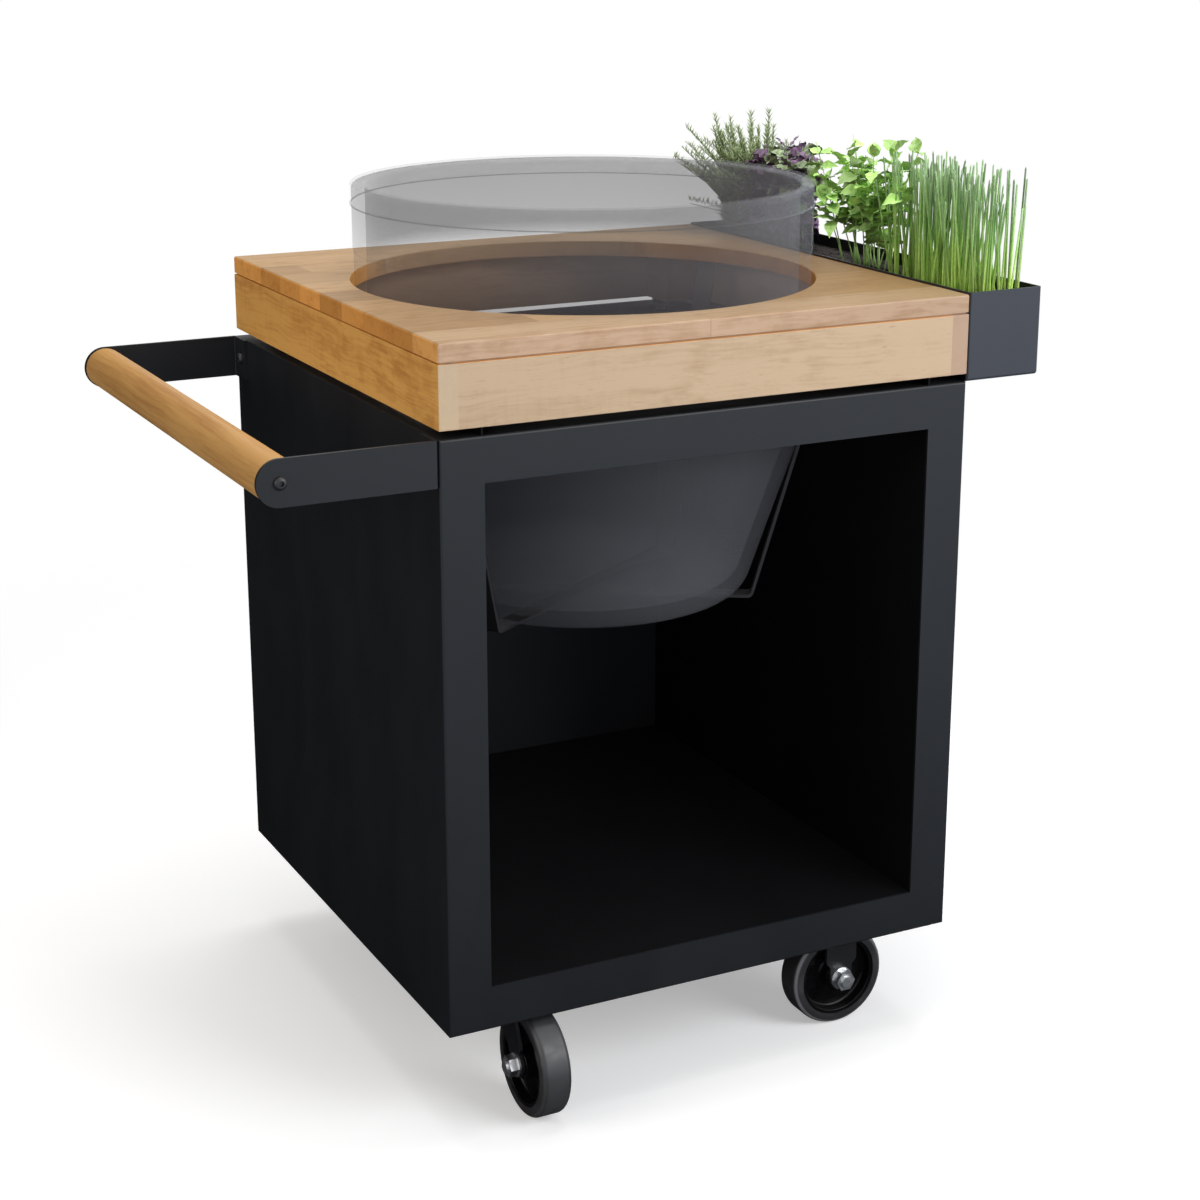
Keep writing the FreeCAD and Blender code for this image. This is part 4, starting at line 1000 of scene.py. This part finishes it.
# In the hole it takes a warm tint, most orange to the handle's side: painted, for the wood seen through
# it.
in_hole = by_height(
    smoked, (fade_foot, 0.0), (hole_foot, 1.0), (board_low.z, 1.0), (board_top, 0.0)
)
rightward = between(smoked, sideways, bowl_middle.x - 60 * MM, bowl_middle.x + 130 * MM)
warm_tint = blended(smoked, rightward, warm_left, warm_right)
smoked_color = blended(smoked, in_hole, smoked_color, stained(smoked, smoked_color, warm_tint))
cool_part = result(smoked, "MAXIMUM", under, lighter)
cool = stained(smoked, smoked_color, cool_tint)
smoked_color = blended(smoked, cool_part, smoked_color, cool)
put_out(smoked, ends, smoked_color, between(smoked, haze, 0.3, 0.7, 0.5, 0.62), haze)
smoke_grey = (0.163, 0.163, 0.168, 1)


def smoked_finish(name, near_stops, far_stops):
    """The smoked form's finish, as dense as the stops of its near and its far side say."""
    finish = material_of(name, smoked, {"Color": smoke_grey}, 0.01 * MM, Specular_IOR_Level=0.1)
    tree = finish.node_tree
    near = result(tree, "MULTIPLY", by_height(tree, *near_stops), rearward(tree, 1.0, 0.0))
    far = result(tree, "MULTIPLY", by_height(tree, *far_stops), rearward(tree, 0.0, 1.0))
    density = result(tree, "ADD", near, far)
    tree.links.new(density, tree.nodes["Principled BSDF"].inputs["Alpha"])
    return finish


low_stops = ((board_low.z - 70 * MM, 0.34), (board_low.z - 20 * MM, 0.28))
near_stops = (
    *low_stops, (board_top + 4 * MM, 0.1), (board_top + 34 * MM, 0.14), (board_top + 80 * MM, 0.23),
)
far_stops = (
    *low_stops, (board_top + 8 * MM, 0.06), (board_top + 30 * MM, 0.38), (board_top + 86 * MM, 0.43),
)
dress(smoked_finish("smoked_bowl", near_stops, far_stops), "kamado_bowl")
band_low, band_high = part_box("kamado_band")
band_line = 1.3 * MM
band_stops = (
    (band_low.z + 0.8 * band_line, 0.36), (band_low.z + band_line, 0.02),
    (band_high.z - 0.6 * band_line, 0.02), (band_high.z - 0.4 * band_line, 0.15),
)
dress(smoked_finish("smoked_band", band_stops, band_stops), "kamado_band")


# Casters: black-coated steel plates and forks, tyres of black rubber on dark moulded cores, and
# zinc-plated axles, bolts and nuts. The two on the handle's side swivel on a ball race.
fork_coat = material_of(
    "fork_coat", powder, {"Color": (0.008, 0.0084, 0.009, 1), "Sheen": 0.4}, powder_relief
)
fork_pieces = ["fixed_fork_front_right", "fixed_fork_rear_right"]
for side in ("front_left", "rear_left"):
    fork_pieces += ["swivel_plate_" + side, "swivel_fork_" + side]
dress(fork_coat, *fork_pieces)
race_steel = material_of(
    "race_steel", zinc, {"Color": (0.30, 0.30, 0.31, 1), "Gloss": 0.4}, zinc_relief, Metallic=1.0
)
dress(race_steel, "swivel_races")
dress(
    bright_zinc, "caster_bolts", "caster_nuts", "fixed_axles", "swivel_axle_front_left",
    "swivel_axle_rear_left", "swivel_pins",
)

rubber, source, ends = finish_group(
    "moulded_black", {"Color": (0.014, 0.014, 0.015, 1), "Gloss": 0.5}
)
place = piece_place(rubber)
dust = noise(rubber, place, 60.0, 5.0, 0.65)
grit = noise(rubber, place, 1100.0, 2.0)
dusty = stained(rubber, source["Color"], (1.9, 1.85, 1.8, 1))
rubber_color = blended(rubber, between(rubber, dust, 0.5, 0.75), source["Color"], dusty)
rubber_gloss = result(rubber, "ADD", source["Gloss"], between(rubber, dust, 0.35, 0.7, -0.04, 0.15))
put_out(rubber, ends, rubber_color, rubber_gloss, grit)
painted_shoulder_highlight = (0.2, 0.205, 0.22, 1)
painted_tread_light = (0.038, 0.04, 0.044, 1)


def tyre_finish(name, axle, highlight_share):
    """Black rubber, with a painted highlight on the shoulders beside the tread."""
    finish = material_of(
        name, rubber, {"Color": (0.02, 0.0202, 0.022, 1), "Gloss": 0.44}, 0.04 * MM,
        Specular_IOR_Level=0.6,
    )
    recolored(
        finish, axle, painted_shoulder_highlight, "MIX", share=highlight_share, span=(0.42, 0.62), fade=(0.84, 0.95)
    )
    return finish


core_plastic = material_of(
    "core_plastic", rubber, {"Color": (0.003, 0.003, 0.0034, 1), "Gloss": 0.26}, 0.01 * MM,
    Specular_IOR_Level=0.2,
)
swivel_rubber = tyre_finish("swivel_tyre_rubber", "X", 0.12)
# The swivel tyres' treads are painted paler: painted light.
recolored(swivel_rubber, "X", painted_tread_light, "MIX", span=(0.45, 0.2))
dress(swivel_rubber, "tyre_front_left", "tyre_rear_left")
dress(tyre_finish("fixed_tyre_rubber", "Y", 0.8), "tyre_front_right", "tyre_rear_right")
for corner in ("front_left", "front_right", "rear_left", "rear_right"):
    dress(core_plastic, "wheel_core_" + corner)


# Studio: a pale floor that runs out to white, an overhead softbox, a large cool softbox at the
# front and a small warm one on the handle's side. Reflections see the floor darken towards the
# table, as over a dark mat, so that the coated faces are deeper towards their foot.
floor_reach = 12.0
white_from = 1.0
white_at = 2.2
mat_reach = 0.5
mat_end = 3.2
mat_light = 0.02
mat_color = (0.9, 1.0, 1.2, 1)
floor_color = (0.82, 0.82, 0.82, 1)
floor_lift = 0.36
deselect()
bpy.ops.mesh.primitive_plane_add(size=2 * floor_reach)
floor = bpy.context.object
floor.name = "studio_floor"
floor_material = bpy.data.materials.new("studio_floor")
floor_material.use_nodes = True
tree = floor_material.node_tree
tree.nodes.remove(tree.nodes["Principled BSDF"])
place = piece_place(tree)
distance = node(tree, "VectorMath", {0: place}, operation="LENGTH").outputs["Value"]
rays = node(tree, "LightPath").outputs
seen = result(tree, "MAXIMUM", rays["Is Camera Ray"], rays["Is Transmission Ray"])
far = result(tree, "MULTIPLY", between(tree, distance, white_from, white_at), seen)
lit = node(tree, "BsdfDiffuse", {"Color": floor_color}).outputs[0]
lift = node(tree, "Emission", {"Strength": result(tree, "MULTIPLY", seen, floor_lift)}).outputs[0]
near_floor = node(tree, "AddShader", {0: lit, 1: lift}).outputs[0]
white = node(tree, "Emission", {"Strength": 1.0}).outputs[0]
mixed = node(tree, "MixShader", {0: far, 1: near_floor, 2: white}).outputs[0]
mat = between(tree, distance, mat_reach, mat_end, mat_light, 1.0)
mirrored = node(tree, "Emission", {"Color": mat_color, "Strength": mat}).outputs[0]
mixed = node(tree, "MixShader", {0: rays["Is Glossy Ray"], 1: mixed, 2: mirrored}).outputs[0]
tree.links.new(mixed, tree.nodes["Material Output"].inputs["Surface"])
floor.data.materials.append(floor_material)

ambient_light = 0.38
world = bpy.data.worlds.new("studio")
bpy.context.scene.world = world
world.use_nodes = True
tree = world.node_tree
tree.nodes.clear()
rays = node(tree, "LightPath").outputs
seen = result(
    tree, "MAXIMUM", rays["Is Camera Ray"],
    result(tree, "MAXIMUM", rays["Is Glossy Ray"], rays["Is Transmission Ray"]),
)
ambient = between(tree, seen, 0.0, 1.0, ambient_light, 1.0)
background = node(tree, "Background", {"Color": (1, 1, 1, 1), "Strength": ambient})
output = tree.nodes.new("ShaderNodeOutputWorld")
tree.links.new(background.outputs[0], output.inputs["Surface"])


def softbox(name, place, target, size, power, color=(1, 1, 1)):
    """A square area lamp that looks at its target."""
    lamp = bpy.data.lights.new(name, "AREA")
    lamp.size = size
    lamp.energy = power
    lamp.color = color
    holder = bpy.data.objects.new(name, lamp)
    bpy.context.scene.collection.objects.link(holder)
    holder.location = place
    holder.rotation_mode = "QUATERNION"
    holder.rotation_quaternion = (Vector(target) - Vector(place)).to_track_quat("-Z", "Y")


softbox(
    "front_softbox", place=(1.5, -2.6, 2.0), target=(0, 0, 0.7), size=1.8, power=66,
    color=(0.96, 0.98, 1.0),
)
softbox("top_softbox", place=(0.3, 0.2, 2.9), target=(0, 0, 0.8), size=1.8, power=44)
softbox(
    "handle_softbox", place=(-2.6, -0.4, 1.7), target=(-0.2, 0, 0.7), size=1.2, power=16,
    color=(1.0, 0.93, 0.84),
)

# Black felt beside the handle, as a photographer sets it: only reflections see it, so that the
# cabinet's side stays deep black beside the white floor.
felt_width = 2.6
felt_height = 1.8
felt_turn = math.radians(27)
felt_depth = 1.7
felt_lift = 2 * MM
deselect()
bpy.ops.mesh.primitive_plane_add(size=1.0)
felt = bpy.context.object
felt.name = "black_felt"
bpy.ops.object.mode_set(mode="EDIT")
bpy.ops.transform.resize(value=(felt_width, felt_depth, 1))
bpy.ops.transform.translate(value=(0, felt_depth / 2, felt_lift))
bpy.ops.object.mode_set(mode="OBJECT")
selected_in_edit(felt, lambda point: point.y > felt_depth / 2)
bpy.ops.mesh.extrude_region_move(TRANSFORM_OT_translate={"value": (0, 0, felt_height)})
bpy.ops.object.mode_set(mode="OBJECT")
felt.data.transform(
    Matrix.Translation((board_low.x, 0, 0)) @ Matrix.Rotation(felt_turn, 4, "Z")
)
felt_black = bpy.data.materials.new("black_felt")
felt_black.use_nodes = True
felt_shader = felt_black.node_tree.nodes["Principled BSDF"]
felt_shader.inputs["Base Color"].default_value = (0, 0, 0, 1)
felt_shader.inputs["Specular IOR Level"].default_value = 0
felt.data.materials.append(felt_black)
felt.visible_camera = False
felt.visible_diffuse = False
felt.visible_transmission = False
felt.visible_shadow = False


# Camera: at the photograph's place and viewing angle. Its frame is shifted down a little, so that
# the table stands as high in the picture as it does there.
lens = 68.6
frame_shift = -0.06
camera_place = Vector((-1.1519, -2.3981, 1.3311))
camera_azimuth = math.radians(-26.86)
camera_height = math.radians(15.42)
camera_data = bpy.data.cameras.new("camera")
camera_data.lens = lens
camera_data.shift_y = frame_shift
camera = bpy.data.objects.new("camera", camera_data)
bpy.context.scene.collection.objects.link(camera)
camera.location = camera_place
camera.rotation_mode = "QUATERNION"
backwards = Vector((
    math.sin(camera_azimuth) * math.cos(camera_height),
    -math.cos(camera_azimuth) * math.cos(camera_height),
    math.sin(camera_height),
))
camera.rotation_quaternion = (-backwards).to_track_quat("-Z", "Y")
bpy.context.scene.camera = camera
bpy.context.scene.view_settings.view_transform = "Standard"
